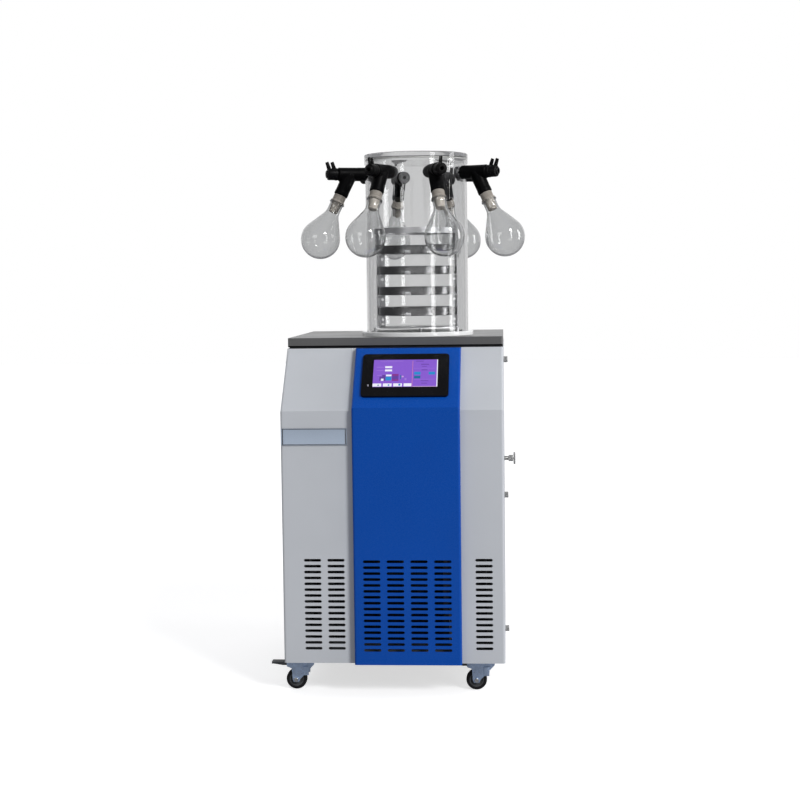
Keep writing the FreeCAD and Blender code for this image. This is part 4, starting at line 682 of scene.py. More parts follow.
COATS = {
    "grey_paint": ("left_cover", "right_cover", "back_panel"),
    "blue_paint": ("front_panel",),
    "worktop": ("worktop",),
    "frame_paint": ("base_pan", "inner_frame"),
    "dark_paint": ("fan_shroud", "compressor"),
    "black_gloss": ("display_bezel",),
    "screen": ("display_screen",),
    "black_plastic": ("controller", "power_inlet", "power_switch", "fan_rotor",
                      *(f"valve_knob_{number}" for number in VALVES)),
    "fitting_plastic": ("port_fittings",),
    "black_rubber": ("port_plugs", "valve_bodies", "compressor_feet"),
    "beige_rubber": ("flask_adapters",),
    "clear_rubber": ("chamber_gaskets",),
    "hose": ("drain_pipe",),
    "nickel": ("thumb_screws", "drain_valve", "drain_handle"),
    "acrylic_ring": ("base_ring",),
    "acrylic": ("chamber_tube",),
    "acrylic_lid": ("chamber_lid",),
    "steel": ("cold_trap", "trap_floor", "vacuum_pipe", *(f"tray_{number}" for number in TRAYS)),
    "rack_steel": ("tray_rack",),
    "foam": ("trap_insulation",),
    "copper": ("evaporator_coil", "suction_pipe"),
    "fin_aluminium": ("condenser",),
    "zinc": ("caster_mounts", *(f"fork_{corner}" for corner in CORNERS)),
    "tyre": tuple(f"wheel_{corner}" for corner in CORNERS),
    "pedal_plastic": tuple(f"pedal_{corner}" for corner in CORNERS),
}


def make_finishes(colours):
    """Every finish, by name, from its maker, its tint and its own settings."""
    ring = shade(colours.acrylic, 0.93)
    # painted shade: the lid takes a darker copy of the acrylic tint
    lid = shade(colours.acrylic, 0.95)
    finishes = (
        (powder_coat, "grey_paint", colours.grey_paint),
        (powder_coat, "blue_paint", colours.blue_paint, 0.26, 0.22),
        # partly painted shade: the frame paint is darkened for the inside of the cabinet seen through the
        # vent slots
        (powder_coat, "frame_paint", colours.frame_paint, 0.42),
        (powder_coat, "dark_paint", (0.02, 0.02, 0.022), 0.40),
        (powder_coat, "plate", colours.plate, 0.25, 0.5),
        (laminate, "worktop", colours.worktop),
        (glossy, "black_gloss", colours.black_gloss),
        (moulded, "black_plastic", colours.black_plastic, 0.38, 900.0, 0.08),
        (moulded, "pedal_plastic", colours.pedal_plastic, 0.5),
        (moulded, "fitting_plastic", (0.06, 0.06, 0.062), 0.4, 500.0, 0.05),
        (moulded, "hub", colours.hub, 0.42),
        (rubber, "black_rubber", colours.black_rubber, 0.42),
        (rubber, "beige_rubber", colours.beige_rubber, 0.48, 0.1),
        (rubber, "clear_rubber", colours.clear_rubber, 0.35, 0.05),
        (rubber, "hose", (0.42, 0.42, 0.40), 0.4, 0.05),
        (rubber, "tyre", colours.tyre, 0.55),
        (brushed, "steel", colours.steel, 0.24, 0.06),
        # painted shade and light: the trays take a darkened copy of the steel, the rack and the tray tabs
        # a lightened one
        (brushed, "tray_steel", shade(colours.steel, 0.36), 0.2, 0.05),
        (brushed, "rack_steel", shade(colours.steel, 1.35), 0.34, 0.05),
        (plated, "zinc", colours.zinc, 0.32),
        (plated, "nickel", colours.nickel, 0.26),
        (plated, "plate_line", (0.16, 0.17, 0.19), 0.35),
        (plated, "copper", colours.copper, 0.28),
        (plated, "dark_steel", (0.10, 0.10, 0.10), 0.35),
        # painted shade: the fins are far darker than bare aluminium, for the shade inside the cabinet
        (finned, "fin_aluminium", (0.14, 0.14, 0.145), 0.0025),
        (cellular, "foam", (0.02, 0.02, 0.022)),
        (clear, "glass", colours.glass, 1.47, 0.05),
        (clear, "acrylic", colours.acrylic, 1.49, 0.02, (1.0, 1.0, 0.2)),
        (clear, "acrylic_ring", ring, 1.49, 0.02, (1.0, 1.0, 1.0), 0.85),
        (clear, "acrylic_lid", lid, 1.49, 0.02),
        (lit, "screen", colours.screen),
        (lit, "lit_white", (0.80, 0.80, 0.90)),
        (lit, "lit_cyan", (0.02, 0.24, 0.56)),
        (lit, "lit_teal", (0.01, 0.14, 0.30)),
        (lit, "lit_salmon", (0.60, 0.22, 0.36)),
        (lit, "lit_dark", (0.115, 0.045, 0.32)),
        (lit, "lit_magenta", (0.22, 0.03, 0.25)),
        (lit, "lit_pink", (0.55, 0.36, 0.66)),
        (lit, "lit_faint", (0.32, 0.17, 0.64)),
    )
    for maker, name, *settings in finishes:
        FINISHES[name] = maker(name, *settings)


class DRYER_OT_finishes(bpy.types.Operator):
    """Give every machine part its finish"""

    bl_idname = "dryer.finishes"
    bl_label = "Finishes"

    def execute(self, context):
        make_finishes(context.scene.dryer_colours)
        for finish, nodes in COATS.items():
            for node in nodes:
                coat(frame["nodes"][node], finish)
        return {"FINISHED"}


class DRYER_OT_stage(bpy.types.Operator):
    """Set the floor, the studio lights and the camera"""

    bl_idname = "dryer.stage"
    bl_label = "Stage"

    def execute(self, context):
        settings = context.scene.dryer_stage
        self.floor(settings)
        self.room(context)
        self.lights()
        self.camera(context, settings)
        context.scene.view_settings.view_transform = "Standard"
        return {"FINISHED"}

    def floor(self, settings):
        rest_hands()
        bpy.ops.mesh.primitive_plane_add(size=settings.floor, location=(0, 0, 0))
        floor = fresh("floor")
        material, shader = new_finish("pale_floor")
        drift = noise(material, place_on_piece(material), 1.5, 2.0)
        link(material, between(material, drift, (0.62, 0.62, 0.625), (0.64, 0.64, 0.645)),
             shader.inputs["Base Color"])
        white = (1.0, 1.0, 1.0, 1.0)
        adjust(shader, {"Roughness": 0.6, "Emission Color": white, "Emission Strength": 0.62})
        plain = add_node(material, "ShaderNodeBsdfDiffuse")
        adjust(plain, {"Color": (0.34, 0.34, 0.35, 1.0)})
        seen = either(material, ray_is(material, "Camera"), plain.outputs["BSDF"], shader.outputs["BSDF"])
        finish_with(material, "Material Output", seen)
        floor.data.materials.append(material)

    def room(self, context):
        """White behind the machine, a soft grey room in reflections and a paler one through glass."""
        world = bpy.data.worlds.new("studio_room")
        context.scene.world = world
        world.use_nodes = True
        backdrop = world.node_tree.nodes["Background"]
        adjust(backdrop, {"Color": (1.0, 1.0, 1.0, 1.0), "Strength": 1.0})
        way = add_node(world, "ShaderNodeSeparateXYZ")
        link(world, add_node(world, "ShaderNodeTexCoord").outputs["Generated"], way.inputs["Vector"])
        aside = add_node(world, "ShaderNodeMath", operation="ABSOLUTE")
        link(world, way.outputs["X"], aside.inputs[0])
        around = self.blend(world, way.outputs["Y"], (0.26, 0.26, 0.27), (0.95, 0.95, 0.96), 0.10, 0.70)
        through = self.blend(world, aside.outputs["Value"], (0.64, 0.64, 0.645), (0.10, 0.10, 0.105),
                             0.25, 0.85)
        unseen = either(world, ray_is(world, "Transmission"), around, through)
        choice = either(world, ray_is(world, "Camera"), unseen, backdrop.outputs["Background"])
        finish_with(world, "World Output", choice)

    def blend(self, world, *ramp):
        """A background that blends from one colour to another."""
        background = add_node(world, "ShaderNodeBackground")
        link(world, between(world, *ramp), background.inputs["Color"])
        return background.outputs["Background"]

    def lights(self):
        sun = self.lamp("key_sun", "SUN", 1.75)
        sun.data.angle = math.radians(14)
        sun.rotation_euler = [math.radians(part) for part in (55, 0, 40)]
        self.softbox("right_window", (2.1, -2.55, 1.5), (0.55, 2.0), 20.0)
        self.softbox("side_window", (2.9, -0.1, 1.4), (0.7, 2.0), 26.0)
        self.softbox("front_fill", (-1.9, -3.4, 2.2), (1.6, 1.0), 13.0)

    def lamp(self, name, kind, power):
        light = bpy.data.lights.new(name, kind)
        light.energy = power
        lamp = bpy.data.objects.new(name, light)
        bpy.context.scene.collection.objects.link(lamp)
        return lamp

    def softbox(self, name, place, size, power):
        """A rectangular light that faces the middle of the machine."""
        lamp = self.lamp(name, "AREA", power)
        lamp.data.shape = "RECTANGLE"
        lamp.data.size, lamp.data.size_y = size
        aim = Vector((0, 0, 0.75)) - Vector(place)
        lamp.location = place
        lamp.rotation_euler = aim.to_track_quat("-Z", "Y").to_euler()

    def camera(self, context, settings):
        camera = bpy.data.cameras.new("front_camera")
        camera.lens = settings.lens
        camera.sensor_width = 36.0
        camera.clip_end = 60.0
        eye = bpy.data.objects.new("front_camera", camera)
        context.scene.collection.objects.link(eye)
        look = (Matrix.Rotation(settings.turn, 3, "Z") @ Matrix.Rotation(-settings.tip, 3, "X")
                @ Matrix.Rotation(settings.roll, 3, "Y"))
        level = Matrix.Rotation(math.pi / 2, 3, "X")
        eye.matrix_world = Matrix.Translation(settings.eye) @ (look @ level).to_4x4()
        context.scene.camera = eye


class DRYER_OT_valves(bpy.types.Operator):
    """Model the six rubber valve bodies with their slanted legs"""

    bl_idname = "dryer.valves"
    bl_label = "Valve bodies"

    def execute(self, context):
        body = self.rubber_body(context.scene.dryer_valves)
        set_at_ports((body, "valve_body_#", "black_rubber", CABINET, "black_rubber", "valve_bodies"))
        return {"FINISHED"}

    def rubber_body(self, sizes):
        """Barrel and leg blended into one moulding, then bored."""
        start = placed(outward(sizes.barrel_start), FACING_FRONT)
        leg_place = leg_matrix(sizes)
        long = sizes.barrel_end - sizes.barrel_start
        radius = sizes.barrel_radius
        ease = radius * 0.2
        waist = radius * 0.985
        barrel = turned("valve_barrel", (
            (0, 0), (radius - ease, 0), (radius, ease), (radius, long * 0.3), (waist, long * 0.32),
            (waist, long * 0.9), (radius, long * 0.92), (radius, long - ease), (radius - ease, long),
            (0, long)))
        move(barrel, start)
        end = sizes.leg_radius
        band = end + 0.0006
        leg_long = sizes.leg_long
        leg = turned("valve_leg", (
            (0, 0), (end + 0.001, 0), (end, leg_long * 0.8), (band, leg_long * 0.84),
            (band, leg_long - 0.001), (end - 0.0006, leg_long), (0, leg_long)))
        move(leg, leg_place)
        body = join("valve_form", [barrel, leg])
        apply_modifier(body, "REMESH", mode="VOXEL", voxel_size=sizes.voxel)
        apply_modifier(body, "SMOOTH", factor=0.5, iterations=6)
        apply_modifier(body, "DECIMATE", ratio=0.45)
        past = 0.002
        wide = sizes.passage_wide
        narrow = sizes.passage_narrow
        step = sizes.nipple_depth
        mouth = long - sizes.knob_depth
        passage = turned("passage", (
            (0, -past), (wide, -past), (wide, step), (narrow, step), (narrow, mouth), (wide, mouth),
            (wide, long + past), (0, long + past)), 32)
        move(passage, start)
        socket = leg_long - sizes.socket_depth
        leg_passage = turned("leg_passage", (
            (0, 0.012), (narrow, 0.012), (narrow, socket), (sizes.leg_bore, socket),
            (sizes.leg_bore, leg_long + past), (0, leg_long + past)), 32)
        move(leg_passage, leg_place)
        return smooth(bore(bore(body, passage), leg_passage), 40)


class DRYER_OT_knobs(bpy.types.Operator):
    """Model the six turning knobs with their ears and vent nozzles"""

    bl_idname = "dryer.knobs"
    bl_label = "Valve knobs"

    def execute(self, context):
        knob = self.knob(context.scene.dryer_valves)
        set_at_ports((knob, "knob_#", "black_plastic", "knob_#", "black_plastic", "valve_knob_#"))
        return {"FINISHED"}

    def knob(self, sizes):
        """A stem, a cap with a shallow groove, and a short nozzle with an open mouth."""
        start = 0.0003
        stem = 0.009
        stem_end = -0.012
        long = sizes.knob_long
        radius = sizes.knob_radius
        groove = radius - 0.0008
        shoulder = long - 0.0002
        tip = long + sizes.nozzle_long
        nozzle = sizes.nozzle_radius
        hole = sizes.nozzle_bore
        cap = turned("knob_cap", (
            (0, stem_end), (stem - 0.0002, stem_end), (stem, stem_end + 0.0005), (stem, start),
            (radius - 0.001, start), (radius, start + 0.001), (radius, 0.006), (groove, 0.0068),
            (groove, long - 0.004), (groove - 0.0008, long - 0.0015), (radius - 0.004, shoulder),
            (nozzle + 0.0006, shoulder), (nozzle, long + 0.0006), (nozzle, tip - 0.0012),
            (nozzle - 0.0012, tip), (hole + 0.001, tip), (hole, tip - 0.001), (hole, long / 2),
            (0, long / 2)))
        move(cap, placed(outward(sizes.barrel_end), FACING_FRONT))
        reaches = [sizes.barrel_end + (long + sizes.ear_apart * way) / 2 for way in (-1, 1)]
        return smooth(join("knob_form", [cap, *(self.ear(sizes, reach) for reach in reaches)]), 35)

    def ear(self, sizes, reach):
        """A thin plate set along the barrel, leaning outward, its tip cut on a slope and narrowed."""
        foot = sizes.knob_radius / 2
        half = sizes.ear_thick / 2
        wide = sizes.ear_wide
        ear = block("knob_ear", (-half, 0, 0), (half, wide, sizes.ear_reach * 1.1 - foot))
        move(ear, placed((0, -reach - wide / 2, foot), Matrix.Rotation(sizes.ear_lean, 4, "X")))
        open_mesh(everything=True)
        bpy.ops.mesh.bisect(plane_co=(0, -reach, sizes.ear_reach), plane_no=(0, -0.25, 1), use_fill=True,
                            clear_outer=True)
        choose(ear, "VERT", lambda spot, normal: spot.z > foot * 2.5)
        bpy.ops.transform.resize(value=(0.8, 1.0, 1.0), center_override=(0, 0, 0))
        choose(ear, "VERT", lambda spot, normal: spot.z > foot * 2.5 and spot.y > -reach - wide * 0.5)
        bpy.ops.transform.translate(value=(0, -wide * 0.25, wide * 0.02))
        close_mesh()
        return ease_edges(ear, 0.0009, 3, 20)


class DRYER_OT_flasks(bpy.types.Operator):
    """Model the six glass flasks and the grooved adapters that hold them"""

    bl_idname = "dryer.flasks"
    bl_label = "Flasks and adapters"

    def execute(self, context):
        sizes = context.scene.dryer_flasks
        valve = context.scene.dryer_valves
        adapter = smooth(move(self.adapter(sizes, valve), leg_matrix(valve)), 40)
        flask = smooth(move(self.flask(sizes), leg_matrix(valve)), 60)
        set_at_ports(
            (adapter, "flask_adapter_#", "beige_rubber", CABINET, "beige_rubber", "flask_adapters"),
            (flask, "glass_flask_#", "glass", CABINET, "flask_glass", "flask_#"))
        return {"FINISHED"}

    def adapter(self, sizes, valve):
        """Stem, three-grooved collar, wide lip and tapered plug."""
        stem = valve.leg_bore - 0.0001
        collar = sizes.collar_radius
        start = sizes.adapter_start
        stem_end = start - valve.socket_depth
        pitch = (sizes.lip_start - start) / 4
        outline = [(0, stem_end), (stem - 0.0008, stem_end), (stem, stem_end + 0.0008), (stem, start),
                   (collar - 0.0007, start)]
        for groove in range(3):
            level = start + pitch * (groove + 1)
            bottom = collar - 0.0009
            outline += [(collar, level - pitch + 0.0007), (collar, level - 0.0009),
                        (bottom, level - 0.0006), (bottom, level + 0.0002), (collar, level + 0.0005)]
        lip = sizes.lip_radius
        top = sizes.lip_start
        under = sizes.lip_end
        ease = 0.0008
        outline += [(collar, top - 0.0004), (lip - ease, top), (lip, top + ease), (lip, under - ease),
                    (lip - ease, under), (sizes.taper_radius, under),
                    (sizes.taper_end_radius, sizes.taper_end - 0.001),
                    (sizes.taper_end_radius - 0.001, sizes.taper_end), (0, sizes.taper_end)]
        return turned("adapter_form", outline)

    def flask(self, sizes):
        """A pear-shaped flask of even wall with a rolled lip."""
        wall = sizes.glass
        start = sizes.flask_start
        lip = sizes.flask_lip
        neck = sizes.neck_radius
        bore_radius = neck - wall
        ease = 0.0006
        round_lip = 0.0012
        roll = [(bore_radius, start + ease), (bore_radius + ease, start), (lip - round_lip, start),
                (lip, start + round_lip), (lip, start + round_lip * 2),
                (lip - round_lip, start + round_lip * 3), (neck + 0.0008, start + 0.0038),
                (neck, start + 0.005)]
        outside = self.side(sizes, neck, sizes.bulb_radius)
        inside = self.side(sizes, bore_radius, sizes.bulb_radius - wall)
        outline = roll + outside + list(reversed(inside)) + [roll[0]]
        return turned("flask_form", outline, 96)

    def side(self, sizes, neck, bulb):
        """The neck's end, an eased shoulder and the round of the bulb, down to the axis."""
        points = [(neck, sizes.neck_end - 0.012)]
        rise = sizes.bulb_middle - sizes.neck_end
        distance = math.hypot(rise, neck)
        touch = math.atan2(neck, rise) + math.acos(bulb / distance)
        cone_end = Vector((bulb * math.sin(touch), sizes.bulb_middle - bulb * math.cos(touch)))
        cone_start = Vector((neck, sizes.neck_end))
        ease = 0.010
        along = (cone_end - cone_start).normalized()
        before = cone_start - Vector((0, ease))
        after = cone_start + along * ease
        steps = 8
        for step in range(steps + 1):
            share = step / steps
            spot = before * (1 - share) ** 2 + cone_start * 2 * share * (1 - share) + after * share ** 2
            points.append(tuple(spot))
        steps = 30
        for step in range(steps + 1):
            turn = touch + (math.pi - touch) * step / steps
            points.append((bulb * math.sin(turn), sizes.bulb_middle - bulb * math.cos(turn)))
        points[-1] = (0, sizes.bulb_middle + bulb)
        return points


class DRYER_OT_nameplate(bpy.types.Operator):
    """Model the blank nameplate with its raised rim line"""

    bl_idname = "dryer.nameplate"
    bl_label = "Nameplate"

    def execute(self, context):
        low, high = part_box("nameplate")
        middle = (low + high) / 2
        rim = 0.0008
        slope = 0.0017
        sunk = 0.0006
        plate = block("blank_nameplate", low, high)
        coat(plate, "plate", "plate_line")
        open_mesh()
        choose(plate, "EDGE", lambda spot, edge: abs(spot.z - middle.z) < 0.001
               and abs(spot.x - middle.x) > 0.01)
        bpy.ops.mesh.bevel(offset=0.006, segments=6, affect="EDGES")
        choose(plate, "FACE", lambda spot, normal: normal.y < -0.9)
        bpy.ops.mesh.inset(thickness=rim)
        bpy.ops.mesh.inset(thickness=slope)
        bpy.ops.transform.translate(value=(0, sunk, 0))
        front = (low.y - 0.0001, low.y + rim)
        choose(plate, "FACE", lambda spot, normal: front[0] < spot.y < front[1]
               and self.on_slope(spot, low, high))
        plate.active_material_index = 1
        bpy.ops.object.material_slot_assign()
        close_mesh()
        seat(smooth(plate, 25), CABINET, "plate_metal", "nameplate")
        return {"FINISHED"}

    def on_slope(self, spot, low, high):
        """Is a spot on the slope between the rim and the field?"""
        inset = min(spot.x - low.x, high.x - spot.x, spot.z - low.z, high.z - spot.z)
        return 0.0009 < inset < 0.0045


class DRYER_OT_condenser(bpy.types.Operator):
    """Model the condenser's close fins between its flanged end plates, over two columns of tubes"""

    bl_idname = "dryer.condenser"
    bl_label = "Condenser"

    def execute(self, context):
        low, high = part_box("condenser")
        wide = high.x - low.x
        plate = 0.001
        flange = 0.0135
        fin = 0.0003
        pitch = 0.0018
        tube_radius = 0.005
        tube_aside = 0.01
        rows = 7
        fins = block("condenser_fins", (low.x + plate, low.y + plate, low.z),
                     (low.x + plate + fin, high.y - plate, high.z))
        apply_modifier(fins, "ARRAY", count=int((wide - plate * 2) / pitch), use_relative_offset=False,
                       use_constant_offset=True, constant_offset_displace=(pitch, 0, 0))
        parts = [fins]
        for left, edge in ((low.x, low.x - flange), (high.x - plate, high.x)):
            parts.append(block("end_plate", (left, low.y, low.z), (left + plate, high.y, high.z)))
            parts.append(block("end_flange", (edge, low.y, low.z), (edge + flange, low.y + plate, high.z)))
        middle = (low.y + high.y) / 2
        spacing = (high.z - low.z) / rows
        for row in range(rows):
            for way in (-1, 1):
                tube = disc("condenser_tube", tube_radius, wide, 24)
                spot = (low.x, middle + tube_aside * way, low.z + spacing * (row + 0.5))
                parts.append(move(tube, placed(spot, FACING_RIGHT)))
        core = smooth(join("condenser_core", parts), 30)
        # the fins take the darkened aluminium, painted shade for the inside of the cabinet
        seat(coat(core, "fin_aluminium"), CABINET, "fin_aluminium", "condenser")
        return {"FINISHED"}


class DRYER_OT_side_screws(bpy.types.Operator):
    """Model the knurled thumb screws on the right cover"""

    bl_idname = "dryer.side_screws"
    bl_label = "Thumb screws"

    def execute(self, context):
        sizes = context.scene.dryer_fittings
        low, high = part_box("thumb_screws")
        radius = sizes.screw_radius
        shank_long = 0.014
        head = knurled("thumb_screw_form", radius, sizes.screw_long, sizes.knurls)
        shank = disc("shank", radius=0.003, depth=shank_long, sides=16)
        move(shank, Matrix.Translation((0, 0, -shank_long)))
        screw = smooth(join("thumb_screw_form", [shank, head]), 30)
        across = high.x - sizes.screw_long
        back = (low.y + high.y) / 2
        levels = (low.z + radius, (low.z + high.z) / 2, high.z - radius)
        for number, level in enumerate(levels, start=1):
            piece = copy_to(screw, f"thumb_screw_{number}", placed((across, back, level), FACING_RIGHT))
            seat(coat(piece, "nickel"), CABINET, "bright_metal", "thumb_screws")
        put_away(screw)
        return {"FINISHED"}


class DRYER_OT_drain(bpy.types.Operator):
    """Model the drain valve's threaded stem, knurled housing and T-bar"""

    bl_idname = "dryer.drain"
    bl_label = "Drain valve"

    def execute(self, context):
        low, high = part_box("drain_valve")
        spot = middle_of("drain_valve")
        bore_radius = 0.003
        housing_long = 0.011
        stem_long = high.x - low.x - housing_long
        stem = turned("drain_stem", self.thread(bore_radius, stem_long), 32)
        move(stem, placed((low.x, spot.y, spot.z), FACING_RIGHT))
        housing = knurled("drain_housing", radius=0.008, long=housing_long, ridges=22)
        hole = disc("pin_hole", bore_radius + 0.00005, housing_long, 24)
        move(hole, Matrix.Translation((0, 0, housing_long * 0.25)))
        bore(housing, hole)
        move(housing, placed((low.x + stem_long, spot.y, spot.z), FACING_RIGHT))
        body = smooth(join("drain_valve_body", [stem, housing]), 30)
        seat(coat(body, "nickel"), CABINET, "bright_metal", "drain_valve")
        self.handle()
        return {"FINISHED"}

    def thread(self, bore_radius, long):
        """Outline of the hollow stem, with eight ridges of thread near its end."""
        crest = 0.0055
        root = 0.0048
        pitch = 0.0011
        start = long - 0.0095
        outline = [(bore_radius, 0), (crest, 0), (crest, start)]
        for turn in range(8):
            level = start + pitch * turn
            outline += [(crest, level + pitch * 0.2), (root, level + pitch * 0.6)]
        return [*outline, (crest, long - 0.0003), (crest, long), (bore_radius, long), (bore_radius, 0)]

    def handle(self):
        """A round pin and a flat bar with narrowed ends."""
        low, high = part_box("drain_handle")
        spot = middle_of("drain_handle")
        thick = 0.006
        bar = block("drain_bar", (high.x - thick, low.y, low.z), high)
        open_mesh()
        choose(bar, "FACE", lambda place, normal: abs(normal.z) > 0.9)
        middle = (high.x - thick / 2, spot.y, spot.z)
        bpy.ops.transform.resize(value=(0.8, 0.75, 1.0), center_override=middle)
        close_mesh()
        ease_edges(bar, 0.0013, 4)
        pin = disc("drain_pin", 0.003, high.x - thick - low.x + 0.001, 24)
        move(pin, placed((low.x, spot.y, spot.z), FACING_RIGHT))
        bar = smooth(join("drain_t_bar", [pin, bar]), 35)
        seat(coat(bar, "nickel"), "drain_handle", "bright_metal", "drain_handle")


class DRYER_OT_ring_screws(bpy.types.Operator):
    """Model the socket screws that hold the chamber's base ring"""

    bl_idname = "dryer.ring_screws"
    bl_label = "Base ring screws"

    def execute(self, context):
        sizes = context.scene.dryer_fittings
        radius = sizes.ring_screw_radius
        screw = disc("ring_screw_form", radius, radius * 0.55, 24)
        socket = disc("socket", radius * 0.5, radius, 6)
        move(socket, Matrix.Translation((0, 0, radius * 0.2)))
        ease_edges(screw, radius * 0.2, 2)
        bore(screw, socket)
        smooth(screw)
        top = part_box("base_ring")[1].z
        first_turn = math.radians(-3.75)
        for number in range(sizes.ring_screws):
            turn = Matrix.Rotation(math.tau * number / sizes.ring_screws + first_turn, 4, "Z")
            place = placed((CHAMBER.x, CHAMBER.y, top), turn)
            reach = Matrix.Translation(outward(sizes.ring_screw_circle))
            piece = copy_to(screw, f"ring_screw_{number + 1}", place @ reach)
            seat(coat(piece, "dark_steel"), CABINET, "bright_metal")
        put_away(screw)
        return {"FINISHED"}


class DRYER_OT_worktop_strip(bpy.types.Operator):
    """Model a dark strip along the worktop's lower front edge, painted shadow for the shade in the gap
    under the worktop
    """

    bl_idname = "dryer.worktop_strip"
    bl_label = "Worktop strip"

    def execute(self, context):
        low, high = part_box("worktop")
        short = 0.001
        proud = 0.0003
        deep = 0.002
        tall = 0.003
        # painted shadow: a black strip set into the gap under the worktop's front edge, where there is
        # only shade
        strip = block("worktop_shadow_strip", (low.x + short, low.y - proud, low.z),
                      (high.x - short, low.y + deep, low.z + tall))
        ease_edges(strip, 0.0002, 2)
        seat(coat(strip, "black_rubber"), CABINET, "black_rubber")
        return {"FINISHED"}


class DRYER_OT_trays(bpy.types.Operator):
    """Model the pressed trays with rolled rims and finger tabs"""

    bl_idname = "dryer.trays"
    bl_label = "Trays"

    def execute(self, context):
        low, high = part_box("tray_1")
        radius = high.x - CHAMBER.x
        tall = high.z - low.z
        form = self.pan(radius, tall)
        for number in TRAYS:
            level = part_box(f"tray_{number}")[0].z
            piece = copy_to(form, f"tray_pan_{number}", Matrix.Translation((CHAMBER.x, CHAMBER.y, level)))
            seat(piece, CABINET, "stainless", f"tray_{number}")
        put_away(form)
        return {"FINISHED"}

    def pan(self, radius, tall):
        """A pan of sheet with a rounded corner and a rolled rim, and a finger tab welded on its side."""
        sheet = 0.001
        corner = 0.003
        side = radius - 0.0006
        lining = side - sheet
        roll = radius - 0.0022
        outline = [(0, 0), (radius - corner, 0), (radius - corner * 0.6, corner * 0.12),
                   (radius - corner * 0.29, corner * 0.29), (radius - corner * 0.08, corner * 0.6),
                   (side, corner), (side, tall - 0.0022), (radius, tall - 0.0018), (radius, tall - 0.0006),
                   (side, tall), (radius - 0.0018, tall), (roll, tall - 0.0006), (roll, tall - 0.0014),
                   (lining, tall - 0.002), (lining, corner), (radius - corner, sheet), (0, sheet)]
        pan = turned("tray_pan", outline, 128)
        turn = Matrix.Rotation(math.radians(-10), 4, "Z")
        half = 0.007
        tab = block("tray_tab", (-half, -0.0009, 0.0), (half, 0.0, tall * 0.36))
        ease_edges(tab, 0.0004, 2)
        move(tab, turn @ Matrix.Translation(outward(radius - 0.0004)))
        # painted shade on the pan, and a painted highlight on the tab, which takes the lightened rack
        # steel
        coat(pan, "tray_steel")
        coat(tab, "rack_steel")
        return smooth(join("tray_form", [pan, tab]), 35)


class DRYER_OT_wheels(bpy.types.Operator):
    """Model the caster wheels: rubber tyre on a moulded hub"""

    bl_idname = "dryer.wheels"
    bl_label = "Caster wheels"

    def execute(self, context):
        sizes = context.scene.dryer_fittings
        form = self.wheel(sizes)
        for corner in CORNERS:
            wheel = f"wheel_{corner}"
            piece = copy_to(form, f"caster_{wheel}", placed(middle_of(wheel), FACING_FRONT))
            seat(piece, f"roller_{corner}", "tyre", wheel)
        put_away(form)
        return {"FINISHED"}

    def wheel(self, sizes):
        """A tyre with eased shoulders, and a hub with a sunk web and a long boss."""
        half = sizes.tyre_width / 2
        radius = sizes.tyre_radius
        hub = sizes.hub_radius
        side = half - 0.0006
        seam = hub - 0.001
        tyre = turned("tyre", mirrored([
            (seam, -half + 0.001), (hub + 0.001, -half), (radius - 0.003, -side),
            (radius - 0.001, -half + 0.002), (radius, -half + 0.0045)]), 72)
        coat(tyre, "tyre")
        bore_radius = 0.00405
        boss = 0.008
        ease = 0.0006
        face = 0.0117
        web = half * 0.5
        centre = turned("hub", mirrored([
            (bore_radius, -face), (boss - ease, -face), (boss, -face + ease), (boss, -web - 0.001),
            (boss + 0.001, -web), (hub - 0.004, -web), (hub - 0.003, -web - 0.001),
            (hub - 0.0028, -half + 0.0008), (seam, -side)]), 72)
        coat(centre, "hub")
        return smooth(join("wheel_form", [centre, tyre]), 35)


class DRYER_OT_casters(bpy.types.Operator):
    """Model the casters' plate bolts, axle nuts and the ribs pressed into their forks"""

    bl_idname = "dryer.casters"
    bl_label = "Caster bolts, nuts and ribs"

    def execute(self, context):
        plate = 0.0025
        bolt_apart = 0.025
        fork_face = 0.016
        rib_rise = 0.011
        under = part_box("caster_mounts")[1].z - plate
        bolt = hexagon("bolt_form", radius=0.0045, thick=0.0032)
        nut = hexagon("nut_form", radius=0.0056, thick=0.0028)
        rib = self.rib()
        for corner in CORNERS:
            caster = f"caster_{corner}"
            swivel = Vector(joint_named(f"swivel_{corner}")["pos_m"])
            axle = Vector(joint_named(f"roll_{corner}")["pos_m"])
            spots = [(swivel.x + bolt_apart * across, swivel.y + bolt_apart * back, under)
                     for across in (-1, 1) for back in (-1, 1)]
            bolts = [copy_to(bolt, "bolt", placed(spot, FACING_DOWN)) for spot in spots]
            seat(coat(join(f"plate_bolts_{corner}", bolts), "zinc"), CABINET, "zinc")
            sides = ((axle.y - fork_face, FACING_FRONT), (axle.y + fork_face, FACING_BACK))
            nuts = [copy_to(nut, "nut", placed((axle.x, side, axle.z), facing)) for side, facing in sides]
            seat(coat(join(f"axle_nuts_{corner}", nuts), "nickel"), caster, "zinc")
            ribs = [copy_to(rib, "rib", Matrix.Translation((swivel.x, side, axle.z + rib_rise)))
                    for side, facing in sides]
            seat(coat(join(f"fork_ribs_{corner}", ribs), "zinc"), caster, "zinc")
        for form in (bolt, nut, rib):
            put_away(form)
        return {"FINISHED"}

    def rib(self):
        """A shallow upright bulge, rounded at both ends."""
        rib = disc("rib_form", radius=0.007, depth=0.022, sides=40)
        open_mesh(everything=True)
        bpy.ops.transform.resize(value=(1.0, 0.26, 1.0), center_override=(0, 0, 0))
        close_mesh()
        return smooth(ease_edges(rib, 0.0012, 4, 50), 40)


